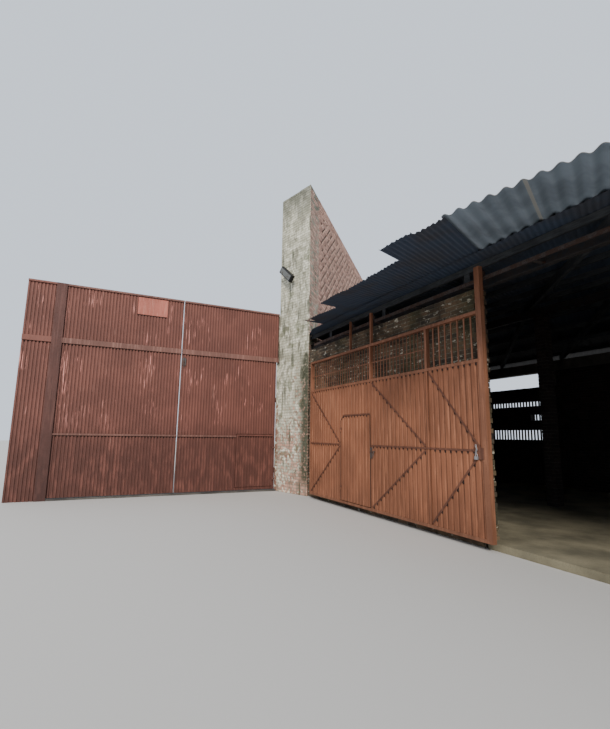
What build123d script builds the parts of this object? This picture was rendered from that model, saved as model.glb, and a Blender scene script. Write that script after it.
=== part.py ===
"""A walled warehouse on a skewed plot, with a sliding iron door and a yard gate.

Units are millimetres. X runs along the front wall, Y into the building and Z up.
The origin is on the ground in the doorway, halfway through the front wall.
The plan is a parallelogram: the side walls run back to the left, and so do the roof sheets.
"""

from build123d import *
import math
import os

os.makedirs("parts", exist_ok=True)

# Plan of the building
door_left = 2860
door_right = 2600
front_left_len = 5740
front_right_len = 2800
wall_t = 250
inner_depth = 7700
plot_skew = 46
rear_wall_head = 3250
floor_t = 100

# Tall party wall and its whitewashed end pier
party_height = 8800
party_t = 380
pier_face = 1325
pier_turn = 15
pier_depth = 900
arris_step = 50

# Roof
roof_slope = 0.14
roof_z = 4298
sheet_t = 18
sheet_skew = 29
main_eave_y = -500
roof_corner_in = 860
rear_eave_out = 650
verge_out = 120
purlin_w = 75
purlin_h = 100
purlin_spaces = 4
rafter_w = 75
rafter_h = 150
rafter_step = 2260
rafter_count = 6
ridge_cap_w = 300
ridge_cap_t = 6
sheet_lap = 2

# Sheets that lengthen the front eave: X and Y of each front edge, from left to right
iron_eaves = (
    ((-6910, -1155), (-5580, -1015)),
    ((-5400, -1545), (-3010, -1495)),
    ((-2700, -2065), (-1640, -1940)),
)
eave_sheet_back = 260
cement_eave_x = -1665
cement_eave_y = -1890
cement_step_y = 535
cement_group_w = 1950
cement_groups = 4
cement_gap = 30
cement_wave = 170
cement_depth = 48
cement_t = 6.5
cement_seat = 0.3
wave_sides = 6

# Beams, columns and pillars
beam_w = 100
beam_h = 180
flange_t = 12
web_t = 10
column_size = 250
column_in = 3952
column_step = 4300
column_count = 3
pillar_w = 360
pillar_in = 4090
pillar_step = 4450
pillar_count = 3
rear_beam_h = 320

# Slits between thin uprights in the rear wall, with a pocket behind each row of them: height of
# the middle and height of a row
vent_w = 75
vent_t = 50
vent_pitch = 115
vent_in = 140
vent_rows = ((1680, 320), (2255, 190), (2710, 165))
vent_counts = (20, 5, 20)

# Sliding door leaf
leaf_w = 5590
leaf_start = 400
leaf_bottom = 120
leaf_top = 3440
leaf_front = -311
tube = 50
stile_w = 100
panel_top = 2706
mid_rail_z = 1373
post_1 = 2700
post_2 = 4370
brace_w = 32
brace_t = 6
leaf_sheet_t = 20
leaf_travel = 5300
hasp_w = 100
hasp_h = 160
hasp_z = 1250
hasp_in = 20

# Wicket in the sliding leaf
wicket_x = 1540
wicket_top = 1990
wicket_gap = 10
wicket_tube = 40
wicket_cut = 100
wicket_hinges = (400, 1650)

# Grille over the sliding leaf
bar_w = 12
bar_pitch = 98
flat_bar_w = 25
flat_bar_pitch = 135
grille_rail = 16

# Track and hangers
rail_h = 60
rail_t = 10
rail_top = 3960
hang_gap = 5
wheel_r = 60
tread_r = 50
wheel_w = 40
groove_w = 22
wheel_lift = 0.3
axle_r = 12
rod_x = 1890
rod_w = 24
hanger_top = 4110
bracket_w = 60
bracket_t = 10
bracket_h = 30
bracket_count = 9
bracket_in = 300
stop_len = 40
stop_gap = 10

# Yard gate
gate_from_arris = 1300
gate_near = -580
gate_meet = -3320
gate_far = -6165
gate_end = -6975
gate_top = 5150
gate_bottom = 60
meeting_gap = 26
gate_tube = 60
gate_sheet_t = 18
gate_rail_t = 30
gate_rail_h = 45
gate_rail_z = 1480
gate_band_z = 3670
gate_band_h = 130
gate_post_w = 150
gate_post_d = 200
cover_t = 6
cover_gap = 5
cover_lap = 15
gate_lap = 60
gate_sill_h = 40
gate_hinges = (500, 2500, 4500)
hinge_gap = 60

# Wicket in the yard gate
yard_wicket_w = 1060
yard_wicket_top = 1560
yard_wicket_sill = 140
yard_wicket_gap = 12
stop_lap = 25
yard_wicket_hinges = (320, 1180)

# Hinges: barrels and pins of the yard gate and of both wickets, and their straps
knuckle_r = 22
knuckle_h = 140
pin_r = 10
small_knuckle_r = 12
small_knuckle_h = 90
small_pin_r = 5
pin_gap = 0.4
strap_t = 6
strap_len = 80
small_strap_len = 40

# Bare plate on the left gate leaf
plate_w = 760
plate_h = 480
plate_t = 4
plate_y = -4520
plate_drop = 70

# Floodlight on the pier
lamp_len = 640
lamp_w = 210
lamp_t = 110
lamp_tilt = 42
lamp_z = 6200
lamp_out = 150
lamp_along = 785
lamp_foot = 120
lamp_arm_r = 20
lamp_bevel = 14

# Places that follow from the plan
wall_front = -wall_t / 2
wall_back = wall_t / 2
rear_inner = wall_back + inner_depth
rear_outer = rear_inner + wall_t
rear_mid = (rear_inner + rear_outer) / 2
rear_eave_y = rear_outer + rear_eave_out
ridge_y = (wall_front + rear_outer) / 2
skew = math.tan(math.radians(plot_skew))
slant = 1 / math.cos(math.radians(plot_skew))
lean = math.tan(math.radians(sheet_skew))
arris = (-door_left - front_left_len, wall_front - arris_step)
gate_x = arris[0] - gate_from_arris
right_x = door_right + front_right_len
inner_right = wall_t * slant
far = 2 * (right_x - arris[0])


def left_line(y):
    """X of the party wall's exposed face at a depth y."""
    return arris[0] - (y - arris[1]) * skew


def right_line(y):
    """X of the side wall's outer face at a depth y."""
    return right_x - (y - wall_front) * skew


def under_sheet(y):
    """Height of the underside of the main roof sheets at a depth y."""
    return roof_z + ridge_y * roof_slope - abs(y - ridge_y) * roof_slope


def strip(y0, y1, left_in=0, right_in=0):
    """Plan of a strip along X from the party wall's face to the side wall's outer face."""
    return [
        (left_line(y0) + left_in, y0),
        (right_line(y0) - right_in, y0),
        (right_line(y1) - right_in, y1),
        (left_line(y1) + left_in, y1),
    ]


def slope_band(y0, y1, below, height):
    """Side view of a layer on one slope, its top lying below the sheets' underside."""
    top_0, top_1 = under_sheet(y0) - below, under_sheet(y1) - below
    return [(y0, top_0), (y1, top_1), (y1, top_1 - height), (y0, top_0 - height)]


def eave_plan(start, end):
    """Plan of an eave sheet from its front edge back along the skewed corrugations."""
    back = eave_sheet_back
    return [
        start,
        end,
        (end[0] - (back - end[1]) * lean, back),
        (start[0] - (back - start[1]) * lean, back),
    ]


def front(y):
    """A plane that faces out of the front wall at a depth y."""
    return Plane.XZ.offset(-y)


def bar(a0, a1, b0, b1):
    """Add a rectangle between two places along each axis of the sketch in hand."""
    with Locations(((a0 + a1) / 2, (b0 + b1) / 2)):
        Rectangle(a1 - a0, b1 - b0)


def brace(start, end):
    """Add a flat bar from one point to another in the sketch in hand."""
    run = (end[0] - start[0], end[1] - start[1])
    with Locations(((start[0] + end[0]) / 2, (start[1] + end[1]) / 2)):
        Rectangle(math.hypot(*run), brace_w, rotation=math.degrees(math.atan2(run[1], run[0])))


def beam_section(foot):
    """Add an I section that stands on a height foot, in the sketch in hand."""
    with Locations((0, foot + beam_h / 2)):
        Rectangle(web_t, beam_h)
    for z in (foot + flange_t / 2, foot + beam_h - flange_t / 2):
        with Locations((0, z)):
            Rectangle(beam_w, flange_t)


def hinge(place, angle, hand, radius, height, pin, fixed_len, moving_len):
    """Lower barrel with its pin, and the bored upper barrel, each on a strap.

    Local X runs across the hinge, with the fixed side at hand * -X. The straps lie against
    the plane one barrel radius behind the axis, and a length of 0 leaves a strap out.
    """
    half = height / 2
    strap_y = radius - strap_t / 2
    with BuildPart() as fixed:
        with BuildSketch():
            Circle(radius)
            if fixed_len > 0:
                with Locations((-hand * fixed_len / 2, strap_y)):
                    Rectangle(fixed_len, strap_t)
        extrude(amount=half)
        with BuildSketch(Plane.XY.offset(half)):
            Circle(pin)
        extrude(amount=half)
    with BuildPart() as turning:
        with BuildSketch(Plane.XY.offset(half + pin_gap)):
            Circle(radius)
            if moving_len > 0:
                with Locations((hand * moving_len / 2, strap_y)):
                    Rectangle(moving_len, strap_t)
            Circle(pin + pin_gap, mode=Mode.SUBTRACT)
        extrude(amount=half - pin_gap)
    spot = Location(place, (0, 0, angle))
    return fixed.part.moved(spot), turning.part.moved(spot)


# Heights that follow from the roof
rafter_foot = under_sheet(-beam_w / 2) - purlin_h - rafter_h
wall_head = rafter_foot - beam_h
rear_beam_foot = rafter_foot - rear_beam_h
ridge_beam_head = under_sheet(ridge_y - beam_w / 2) - purlin_h - rafter_h
ridge_beam_foot = ridge_beam_head - beam_h

# Floor slab inside the walls and through the doorway
with BuildPart() as floor_slab:
    with BuildSketch():
        Polygon(*strip(wall_back, rear_inner, 0, inner_right), align=None)
        bar(-door_left, door_right, wall_front, wall_back)
    extrude(amount=floor_t)

# Front wall on each side of the doorway
with BuildPart() as front_wall_left:
    with BuildSketch():
        Polygon((left_line(wall_front), wall_front), (-door_left, wall_front),
                (-door_left, wall_back), (left_line(wall_back), wall_back), align=None)
    extrude(amount=wall_head)

with BuildPart() as front_wall_right:
    with BuildSketch():
        Polygon((door_right, wall_front), (right_x, wall_front),
                (right_line(wall_back), wall_back), (door_right, wall_back), align=None)
    extrude(amount=wall_head)

# Side wall whose head follows both roof slopes under the purlins
with BuildPart() as side_wall:
    with BuildSketch(Plane.YZ):
        Polygon(
            (wall_back, 0),
            (rear_inner, 0),
            (rear_inner, under_sheet(rear_inner) - purlin_h),
            (ridge_y, under_sheet(ridge_y) - purlin_h),
            (wall_back, under_sheet(wall_back) - purlin_h),
            align=None,
        )
    extrude(amount=far, both=True)
    with BuildSketch():
        Polygon(
            (right_line(wall_back), wall_back),
            (right_line(rear_inner), rear_inner),
            (right_line(rear_inner) - inner_right, rear_inner),
            (right_line(wall_back) - inner_right, wall_back),
            align=None,
        )
    extrude(amount=party_height, mode=Mode.INTERSECT)

# Rear wall, raised to the beam in its right bay and pierced by rows of slits in the others
pillar_x = right_line(rear_outer) - pillar_in
raised_x = pillar_x + pillar_w / 2
with BuildPart() as rear_wall:
    with BuildSketch():
        Polygon(*strip(rear_inner, rear_outer), align=None)
    extrude(amount=rear_wall_head)
    with BuildSketch(Plane.XY.offset(rear_wall_head)):
        Polygon(
            (raised_x, rear_inner),
            (right_line(rear_inner), rear_inner),
            (right_line(rear_outer), rear_outer),
            (raised_x, rear_outer),
            align=None,
        )
    extrude(amount=rear_beam_foot - rear_wall_head)
    with BuildSketch(front(rear_outer)):
        for bay in range(pillar_count - 1):
            first_vent = pillar_x - bay * pillar_step - pillar_w / 2 - vent_in
            for (middle, height), count in zip(vent_rows, vent_counts):
                with Locations((first_vent - (count - 1) * vent_pitch / 2, middle)):
                    with GridLocations(vent_pitch, 1, count, 1):
                        Rectangle(vent_w, height)
    extrude(amount=wall_t, mode=Mode.SUBTRACT)
    with BuildSketch(front(rear_outer)):
        for bay in range(pillar_count - 1):
            first_vent = pillar_x - bay * pillar_step - pillar_w / 2 - vent_in
            for (middle, height), count in zip(vent_rows, vent_counts):
                with Locations((first_vent - (count - 1) * vent_pitch / 2, middle)):
                    Rectangle(count * vent_pitch, height)
    extrude(amount=wall_t - vent_t, mode=Mode.SUBTRACT)

# Short pillars and the rear beam above the slots
with BuildPart() as rear_pillars:
    with BuildSketch(Plane.XY.offset(rear_wall_head)):
        for i in range(pillar_count):
            with Locations((pillar_x - i * pillar_step, rear_mid)):
                Rectangle(pillar_w, wall_t)
    extrude(amount=rear_beam_foot - rear_wall_head)

with BuildPart() as rear_beam:
    with BuildSketch(Plane.XY.offset(rear_beam_foot)):
        Polygon(*strip(rear_inner, rear_outer), align=None)
    extrude(amount=rear_beam_h)

# Front beam, an I section along the wall head, cut to the skewed side walls
with BuildPart() as front_beam:
    with BuildSketch(Plane.YZ):
        beam_section(wall_head)
    extrude(amount=far, both=True)
    with BuildSketch():
        Polygon(*strip(-beam_w / 2, beam_w / 2), align=None)
    extrude(amount=party_height, mode=Mode.INTERSECT)

# Ridge beam of the same section on three brick columns
with BuildPart() as ridge_beam:
    with BuildSketch(Plane.YZ):
        with Locations((ridge_y, 0)):
            beam_section(ridge_beam_foot)
    extrude(amount=far, both=True)
    with BuildSketch():
        Polygon(*strip(ridge_y - beam_w / 2, ridge_y + beam_w / 2, 0, inner_right), align=None)
    extrude(amount=party_height, mode=Mode.INTERSECT)

with BuildPart() as columns:
    with BuildSketch(Plane.XY.offset(floor_t)):
        for i in range(column_count):
            with Locations((left_line(ridge_y) + column_in + i * column_step, ridge_y)):
                Rectangle(column_size, column_size)
    extrude(amount=ridge_beam_foot - floor_t)


def rafter_plan(i, y0, y1):
    """Plan of a rafter that runs parallel to the side walls."""
    x = left_line(0) + (i + 0.5) * rafter_step
    half = rafter_w / 2 * slant
    return [
        (x - y0 * skew - half, y0),
        (x - y0 * skew + half, y0),
        (x - y1 * skew + half, y1),
        (x - y1 * skew - half, y1),
    ]


# Rafters on each slope
front_foot_y = -beam_w / 2
rear_foot_y = 2 * ridge_y - front_foot_y
with BuildPart() as front_rafters:
    with BuildSketch(Plane.YZ):
        Polygon(*slope_band(front_foot_y, ridge_y, purlin_h, rafter_h), align=None)
    extrude(amount=far, both=True)
    with BuildSketch():
        for i in range(rafter_count):
            Polygon(*rafter_plan(i, front_foot_y, ridge_y), align=None)
    extrude(amount=party_height, mode=Mode.INTERSECT)

with BuildPart() as rear_rafters:
    with BuildSketch(Plane.YZ):
        Polygon(*slope_band(ridge_y, rear_foot_y, purlin_h, rafter_h), align=None)
    extrude(amount=far, both=True)
    with BuildSketch():
        for i in range(rafter_count):
            Polygon(*rafter_plan(i, ridge_y, rear_foot_y), align=None)
    extrude(amount=party_height, mode=Mode.INTERSECT)

# Purlins along both slopes, evenly spaced from the eave beam to the ridge
purlin_step = (ridge_y - purlin_w - front_foot_y) / purlin_spaces
purlin_ys = [front_foot_y + i * purlin_step for i in range(purlin_spaces + 1)]
with BuildPart() as front_purlins:
    with BuildSketch(Plane.YZ):
        Polygon(*slope_band(front_foot_y, ridge_y, 0, purlin_h), align=None)
    extrude(amount=far, both=True)
    with BuildSketch():
        for y in purlin_ys:
            Polygon(*strip(y, y + purlin_w), align=None)
    extrude(amount=party_height, mode=Mode.INTERSECT)

with BuildPart() as rear_purlins:
    with BuildSketch(Plane.YZ):
        Polygon(*slope_band(ridge_y, rear_foot_y, 0, purlin_h), align=None)
    extrude(amount=far, both=True)
    with BuildSketch():
        for y in purlin_ys:
            Polygon(*strip(2 * ridge_y - y - purlin_w, 2 * ridge_y - y), align=None)
    extrude(amount=party_height, mode=Mode.INTERSECT)

# Main roof sheets, the front ones cut back at the party wall's end
with BuildPart() as roof_front:
    with BuildSketch(Plane.YZ):
        Polygon(*slope_band(main_eave_y, ridge_y, -sheet_t, sheet_t), align=None)
    extrude(amount=far, both=True)
    with BuildSketch():
        Polygon(
            (arris[0] + roof_corner_in, main_eave_y),
            (right_line(main_eave_y) + verge_out, main_eave_y),
            (right_line(ridge_y) + verge_out, ridge_y),
            (left_line(ridge_y), ridge_y),
            (arris[0] + sheet_lap, arris[1]),
            align=None,
        )
    extrude(amount=party_height, mode=Mode.INTERSECT)

with BuildPart() as roof_rear:
    with BuildSketch(Plane.YZ):
        Polygon(*slope_band(ridge_y, rear_eave_y, -sheet_t, sheet_t), align=None)
    extrude(amount=far, both=True)
    with BuildSketch():
        Polygon(*strip(ridge_y, rear_eave_y, 0, -verge_out), align=None)
    extrude(amount=party_height, mode=Mode.INTERSECT)

# Ridge cap, a bent strip over the top edges
cap_0, cap_1 = ridge_y - ridge_cap_w / 2, ridge_y + ridge_cap_w / 2
with BuildPart() as ridge_cap:
    with BuildSketch(Plane.YZ):
        Polygon(*slope_band(cap_0, ridge_y, -sheet_t - ridge_cap_t, ridge_cap_t), align=None)
        Polygon(*slope_band(ridge_y, cap_1, -sheet_t - ridge_cap_t, ridge_cap_t), align=None)
    extrude(amount=far, both=True)
    with BuildSketch():
        Polygon(*strip(cap_0, cap_1, 0, -verge_out), align=None)
    extrude(amount=party_height, mode=Mode.INTERSECT)

# Iron sheets that lengthen the front eave
with BuildPart() as eave_sheets_iron:
    iron_front_y = min(y for edge in iron_eaves for x, y in edge)
    with BuildSketch(Plane.YZ):
        Polygon(*slope_band(iron_front_y, eave_sheet_back, -2 * sheet_t, sheet_t), align=None)
    extrude(amount=far, both=True)
    with BuildSketch():
        for edge in iron_eaves:
            Polygon(*eave_plan(*edge), align=None)
    extrude(amount=party_height, mode=Mode.INTERSECT)

# Wavy cement sheets that lengthen it further right: the wave is drawn across the skewed and
# sloping run, extruded along it, and cut to the stepped outline of the groups
pitch_angle = math.atan(roof_slope * math.cos(math.radians(sheet_skew)))
run_dir = Vector(
    -math.sin(math.radians(sheet_skew)) * math.cos(pitch_angle),
    math.cos(math.radians(sheet_skew)) * math.cos(pitch_angle),
    math.sin(pitch_angle),
)
roof_normal = Vector(0, -roof_slope, 1).normalized()
across = run_dir.cross(roof_normal)
sheet_top = under_sheet(cement_eave_y) + sheet_t
wave_plane = Plane(origin=(cement_eave_x, cement_eave_y, sheet_top), x_dir=across, z_dir=-run_dir)
cement_right_x = cement_eave_x + cement_groups * cement_group_w
cement_reach = cement_right_x - cement_eave_x
wave_count = math.ceil((cement_right_x - cement_eave_x) * across.X / cement_wave) + 1
swing = (cement_depth - cement_t) / 2


def wave_point(step, side):
    """A point on the upper (side 1) or lower (side -1) face of the wave."""
    turn = 2 * math.pi * step / wave_sides
    rise = -2 * math.pi * swing / cement_wave * math.sin(turn)
    out = side * cement_t / 2 / math.hypot(1, rise)
    u = step * cement_wave / wave_sides - rise * out
    return (u, cement_seat + cement_depth / 2 + swing * math.cos(turn) + out)


with BuildPart() as eave_sheets_cement:
    steps = range(-wave_sides, wave_count * wave_sides + 1)
    with BuildSketch(wave_plane):
        Polygon(*[wave_point(step, 1) for step in steps],
                *[wave_point(step, -1) for step in reversed(steps)], align=None)
    extrude(amount=cement_reach, both=True)
    with BuildSketch():
        for i in range(cement_groups):
            x0 = cement_eave_x + i * cement_group_w
            x1 = x0 + cement_group_w - cement_gap
            edge = ((x0, cement_eave_y), (x1, cement_eave_y + cement_step_y))
            Polygon(*eave_plan(*edge), align=None)
    extrude(amount=party_height, mode=Mode.INTERSECT)

# End pier with its whitewashed face, and the party wall behind it
pier_dir = (math.cos(math.radians(pier_turn)), math.sin(math.radians(pier_turn)))
wall_dir = (-math.sin(math.radians(plot_skew)), math.cos(math.radians(plot_skew)))
party_reach = party_t / math.cos(math.radians(plot_skew - pier_turn))
party_end = (rear_eave_y - arris[1]) * slant
pier_edge_y = arris[1] - pier_face * pier_dir[1]
pier_edge_x = arris[0] - pier_face * pier_dir[0]


def beside_arris(left, back):
    """A plan point so far left of the arris along the pier's face and back along the wall."""
    return (
        arris[0] - left * pier_dir[0] + back * wall_dir[0],
        arris[1] - left * pier_dir[1] + back * wall_dir[1],
    )


with BuildPart() as end_pier:
    with BuildSketch():
        Polygon(beside_arris(0, 0), beside_arris(0, pier_depth),
                beside_arris(pier_face, pier_depth), beside_arris(pier_face, 0), align=None)
    extrude(amount=party_height)

with BuildPart() as party_wall:
    with BuildSketch():
        Polygon(beside_arris(0, pier_depth), beside_arris(0, party_end),
                beside_arris(party_reach, party_end), beside_arris(party_reach, pier_depth),
                align=None)
    extrude(amount=party_height)

# Sliding leaf: places along the wall and through its thickness
leaf_x = arris[0] + leaf_start
leaf_end = leaf_x + leaf_w
sheet_front = leaf_front + brace_t
frame_front = sheet_front + leaf_sheet_t
frame_back = frame_front + tube
leaf_depth = frame_back - leaf_front
post_1_x = leaf_x + post_1
post_2_x = leaf_x + post_2
stile_x = leaf_end - stile_w
wicket_left = leaf_x + wicket_x
wicket_right = post_1_x - tube / 2
wicket_sill = leaf_bottom + tube

# Track rail with a stop at each end of the wheels' run
wheel_front = frame_back + hang_gap
rail_y = wheel_front + wheel_w / 2
rail_foot = rail_top - rail_h
wheel_xs = (leaf_x + rod_x, post_1_x, stile_x + stile_w / 2)
stop_left = wheel_xs[0] - wheel_r - stop_gap
stop_right = wheel_xs[-1] + leaf_travel + wheel_r + stop_gap
with BuildPart() as door_track:
    with BuildSketch(front(rail_y + rail_t / 2)):
        bar(leaf_x, stop_right + stop_len, rail_foot, rail_top)
        bar(stop_left - stop_len, stop_left, rail_top, rail_top + wheel_r)
        bar(stop_right, stop_right + stop_len, rail_top, rail_top + wheel_r)
    extrude(amount=rail_t)

# Brackets from the web of the front beam to the back of the rail
rail_back = rail_y + rail_t / 2
bracket_step = (stop_right + stop_len - leaf_x) / bracket_count
with BuildPart() as track_brackets:
    with BuildSketch(Plane.YZ.offset(leaf_x + bracket_in)):
        bar(rail_back, -web_t / 2, rail_foot, rail_foot + bracket_t)
        bar(rail_back, rail_back + bracket_t, rail_foot, rail_foot + bracket_h)
        bar(-web_t / 2 - bracket_t, -web_t / 2, rail_foot, rail_foot + bracket_h)
    extrude(amount=bracket_w)
    first = track_brackets.part
    with Locations(*[(i * bracket_step, 0, 0) for i in range(1, bracket_count)]):
        add(first)

# Frame of the leaf: tubes behind the sheet, edges that close round it, and two posts and a rod
# up to the wheels, with the wicket's fixed barrels
leaf_hinges = [
    hinge((wicket_left + wicket_gap / 2, sheet_front - small_knuckle_r, z), 0, 1,
          small_knuckle_r, small_knuckle_h, small_pin_r, small_strap_len, small_strap_len)
    for z in wicket_hinges
]
with BuildPart() as door_frame:
    with BuildSketch(front(frame_back)):
        bar(post_1_x - tube / 2, post_1_x + tube / 2, leaf_bottom, hanger_top)
        bar(post_2_x - tube / 2, post_2_x + tube / 2, leaf_bottom, leaf_top)
        bar(leaf_x + rod_x - rod_w / 2, leaf_x + rod_x + rod_w / 2, leaf_top, hanger_top)
        bar(wicket_left - wicket_tube, wicket_left, leaf_bottom, panel_top)
        bar(leaf_x, wicket_left, mid_rail_z - tube / 2, mid_rail_z + tube / 2)
        bar(post_1_x, leaf_end, mid_rail_z - tube / 2, mid_rail_z + tube / 2)
        bar(wicket_left, wicket_right, wicket_top, wicket_top + wicket_tube)
    extrude(amount=tube)
    with BuildSketch(front(frame_back)):
        bar(leaf_x, leaf_x + tube, leaf_bottom, leaf_top)
        bar(stile_x, leaf_end, leaf_bottom, hanger_top)
        bar(post_1_x - tube / 2, post_1_x + tube / 2, panel_top, leaf_top)
        bar(post_2_x - tube / 2, post_2_x + tube / 2, panel_top, leaf_top)
        bar(leaf_x, leaf_end, leaf_bottom, leaf_bottom + tube)
        bar(leaf_x, leaf_end, panel_top - tube, panel_top)
        bar(leaf_x, leaf_end, leaf_top - tube, leaf_top)
    extrude(amount=leaf_depth)
    add([fixed for fixed, turning in leaf_hinges])

# Sheeting between the edges, open at the wicket, whose upper left corner is cut off
with BuildPart() as door_sheets:
    with BuildSketch(front(frame_front)):
        bar(leaf_x + tube, stile_x, leaf_bottom + tube, panel_top - tube)
        Polygon(
            (wicket_left, wicket_sill),
            (wicket_right, wicket_sill),
            (wicket_right, wicket_top),
            (wicket_left + wicket_cut, wicket_top),
            (wicket_left, wicket_top - wicket_cut),
            align=None,
            mode=Mode.SUBTRACT,
        )
    extrude(amount=leaf_sheet_t)

# Flat bars on the sheet: a rail at half height, a hood over the wicket, and in each bay two
# braces that meet at the right like an arrow
bays = (
    (leaf_x + tube, wicket_left),
    (post_1_x + tube / 2, post_2_x - tube / 2),
    (post_2_x + tube / 2, stile_x),
)
with BuildPart() as door_braces:
    with BuildSketch(front(sheet_front)):
        bar(leaf_x + tube, wicket_left - small_strap_len, mid_rail_z - brace_w / 2,
            mid_rail_z + brace_w / 2)
        bar(wicket_right + tube, stile_x, mid_rail_z - brace_w / 2, mid_rail_z + brace_w / 2)
        bar(wicket_left + wicket_cut, wicket_right, wicket_top, wicket_top + brace_w)
        for left, right in bays:
            brace((left + brace_w, panel_top - tube - brace_w),
                  (right - brace_w, mid_rail_z + brace_w))
            brace((left + brace_w, leaf_bottom + tube + brace_w),
                  (right - brace_w, mid_rail_z - brace_w))
    extrude(amount=brace_t)

# Grille over the panel: bars with one rail in two bays, wider flat bars in the third
grille_foot, grille_head = panel_top, leaf_top - tube
grille_mid = (grille_foot + grille_head) / 2
with BuildPart() as door_grille:
    with BuildSketch(front(leaf_front + (leaf_depth + bar_w) / 2)):
        for left, right, width, pitch, railed in (
            (leaf_x + tube, post_1_x - tube / 2, bar_w, bar_pitch, True),
            (post_1_x + tube / 2, post_2_x - tube / 2, bar_w, bar_pitch, True),
            (post_2_x + tube / 2, stile_x, flat_bar_w, flat_bar_pitch, False),
        ):
            count = int((right - left) / pitch)
            for i in range(1, count):
                x = left + i * (right - left) / count
                bar(x - width / 2, x + width / 2, grille_foot, grille_head)
            if railed:
                bar(left, right, grille_mid - grille_rail / 2, grille_mid + grille_rail / 2)
    extrude(amount=bar_w)

# Grooved wheels on the rail, each with an axle fixed to a post
wheel_z = rail_top + wheel_lift + tread_r
flange_w = (wheel_w - groove_w) / 2
with BuildPart() as door_wheels:
    for start, width, radius in (
        (frame_back, hang_gap, axle_r),
        (wheel_front, flange_w, wheel_r),
        (wheel_front + flange_w, groove_w, tread_r),
        (wheel_front + flange_w + groove_w, flange_w, wheel_r),
    ):
        with BuildSketch(front(start)):
            with Locations(*[(x, wheel_z) for x in wheel_xs]):
                Circle(radius)
        extrude(amount=-width)

# Chain plate on the leading stile
with BuildPart() as door_hasp:
    with BuildSketch(front(leaf_front)):
        with Locations((stile_x - hasp_in, hasp_z + hasp_h / 2)):
            Rectangle(hasp_w, hasp_h)
    extrude(amount=strap_t)

# Wicket in the leaf, hinged on its left jamb
door_x0, door_x1 = wicket_left + wicket_gap, wicket_right - wicket_gap
door_z0, door_z1 = wicket_sill + wicket_gap, wicket_top - wicket_gap
door_cut = wicket_cut - (2 - math.sqrt(2)) * wicket_gap
with BuildPart() as wicket_frame:
    with BuildSketch(front(frame_back)):
        bar(door_x0, door_x0 + wicket_tube, door_z0, door_z1 - door_cut)
        bar(door_x1 - wicket_tube, door_x1, door_z0, door_z1)
        bar(door_x0, door_x1, door_z0, door_z0 + wicket_tube)
        bar(door_x0 + door_cut, door_x1, door_z1 - wicket_tube, door_z1)
        bar(door_x0, door_x1, mid_rail_z - wicket_tube / 2, mid_rail_z + wicket_tube / 2)
        Polygon(
            (door_x0, door_z1 - door_cut),
            (door_x0 + wicket_tube, door_z1 - door_cut - wicket_tube),
            (door_x0 + door_cut + wicket_tube, door_z1 - wicket_tube),
            (door_x0 + door_cut, door_z1),
            align=None,
        )
    extrude(amount=tube)
    add([turning for fixed, turning in leaf_hinges])

with BuildPart() as wicket_sheet:
    with BuildSketch(front(frame_front)):
        Polygon(
            (door_x0, door_z0),
            (door_x1, door_z0),
            (door_x1, door_z1),
            (door_x0 + door_cut, door_z1),
            (door_x0, door_z1 - door_cut),
            align=None,
        )
    extrude(amount=leaf_sheet_t)

# Yard gate: layers from the yard side back, and the line of its hinges
rail_plane = Plane.YZ.offset(gate_x - gate_rail_t)
skin_plane = rail_plane.offset(-gate_sheet_t)
tube_plane = skin_plane.offset(-gate_tube)
rail_back_x = rail_plane.origin.X
gate_back_x = tube_plane.origin.X
axis_x = gate_back_x - knuckle_r
post_y1 = gate_far - hinge_gap
post_y0 = post_y1 - gate_post_w
near_post_y = gate_near + hinge_gap
near_axis_y = gate_near + hinge_gap / 2
far_axis_y = gate_far - hinge_gap / 2

# Far post, the flat cover over the gap beside the leaf, the narrow fixed panel beyond them,
# and the sill under the leaves
post_front_x = gate_x + cover_gap
with BuildPart() as gate_post:
    with BuildSketch():
        bar(axis_x - gate_post_d / 2, post_front_x, post_y0, post_y1)
    extrude(amount=gate_top)

with BuildPart() as gate_post_cover:
    with BuildSketch():
        bar(post_front_x, post_front_x + cover_t, post_y0, gate_far + cover_lap)
    extrude(amount=gate_top)

with BuildPart() as gate_side_panel:
    with BuildSketch(rail_plane):
        bar(gate_end, post_y0, gate_top - gate_rail_h, gate_top)
        bar(gate_end, post_y0, gate_band_z, gate_band_z + gate_band_h)
    extrude(amount=gate_rail_t)
    with BuildSketch(skin_plane):
        bar(gate_end, post_y0, 0, gate_top)
    extrude(amount=gate_sheet_t)
    with BuildSketch(tube_plane):
        bar(gate_end, gate_end + gate_tube, 0, gate_top)
    extrude(amount=gate_tube)

with BuildPart() as gate_sill:
    with BuildSketch():
        bar(axis_x - gate_post_d / 2, gate_x, post_y1, near_post_y)
    extrude(amount=gate_sill_h)


def pier_side(x):
    """Depth of the pier's hidden side face at a place x along the front."""
    return pier_edge_y + (pier_edge_x - x) / skew


# Slim post against the pier
with BuildPart() as gate_pier_post:
    with BuildSketch():
        Polygon(
            (axis_x - knuckle_r, near_post_y),
            (axis_x + knuckle_r, near_post_y),
            (axis_x + knuckle_r, pier_side(axis_x + knuckle_r)),
            (axis_x - knuckle_r, pier_side(axis_x - knuckle_r)),
            align=None,
        )
    extrude(amount=gate_top)

# Fixed barrels of the yard gate on both posts
near_hinges = [
    hinge((axis_x, near_axis_y, z), -90, 1, knuckle_r, knuckle_h, pin_r, hinge_gap / 2, strap_len)
    for z in gate_hinges
]
far_hinges = [
    hinge((axis_x, far_axis_y, z), -90, -1, knuckle_r, knuckle_h, pin_r, hinge_gap / 2, strap_len)
    for z in gate_hinges
]
with BuildPart() as gate_hinge_pins:
    add([fixed for fixed, turning in near_hinges + far_hinges])

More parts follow.
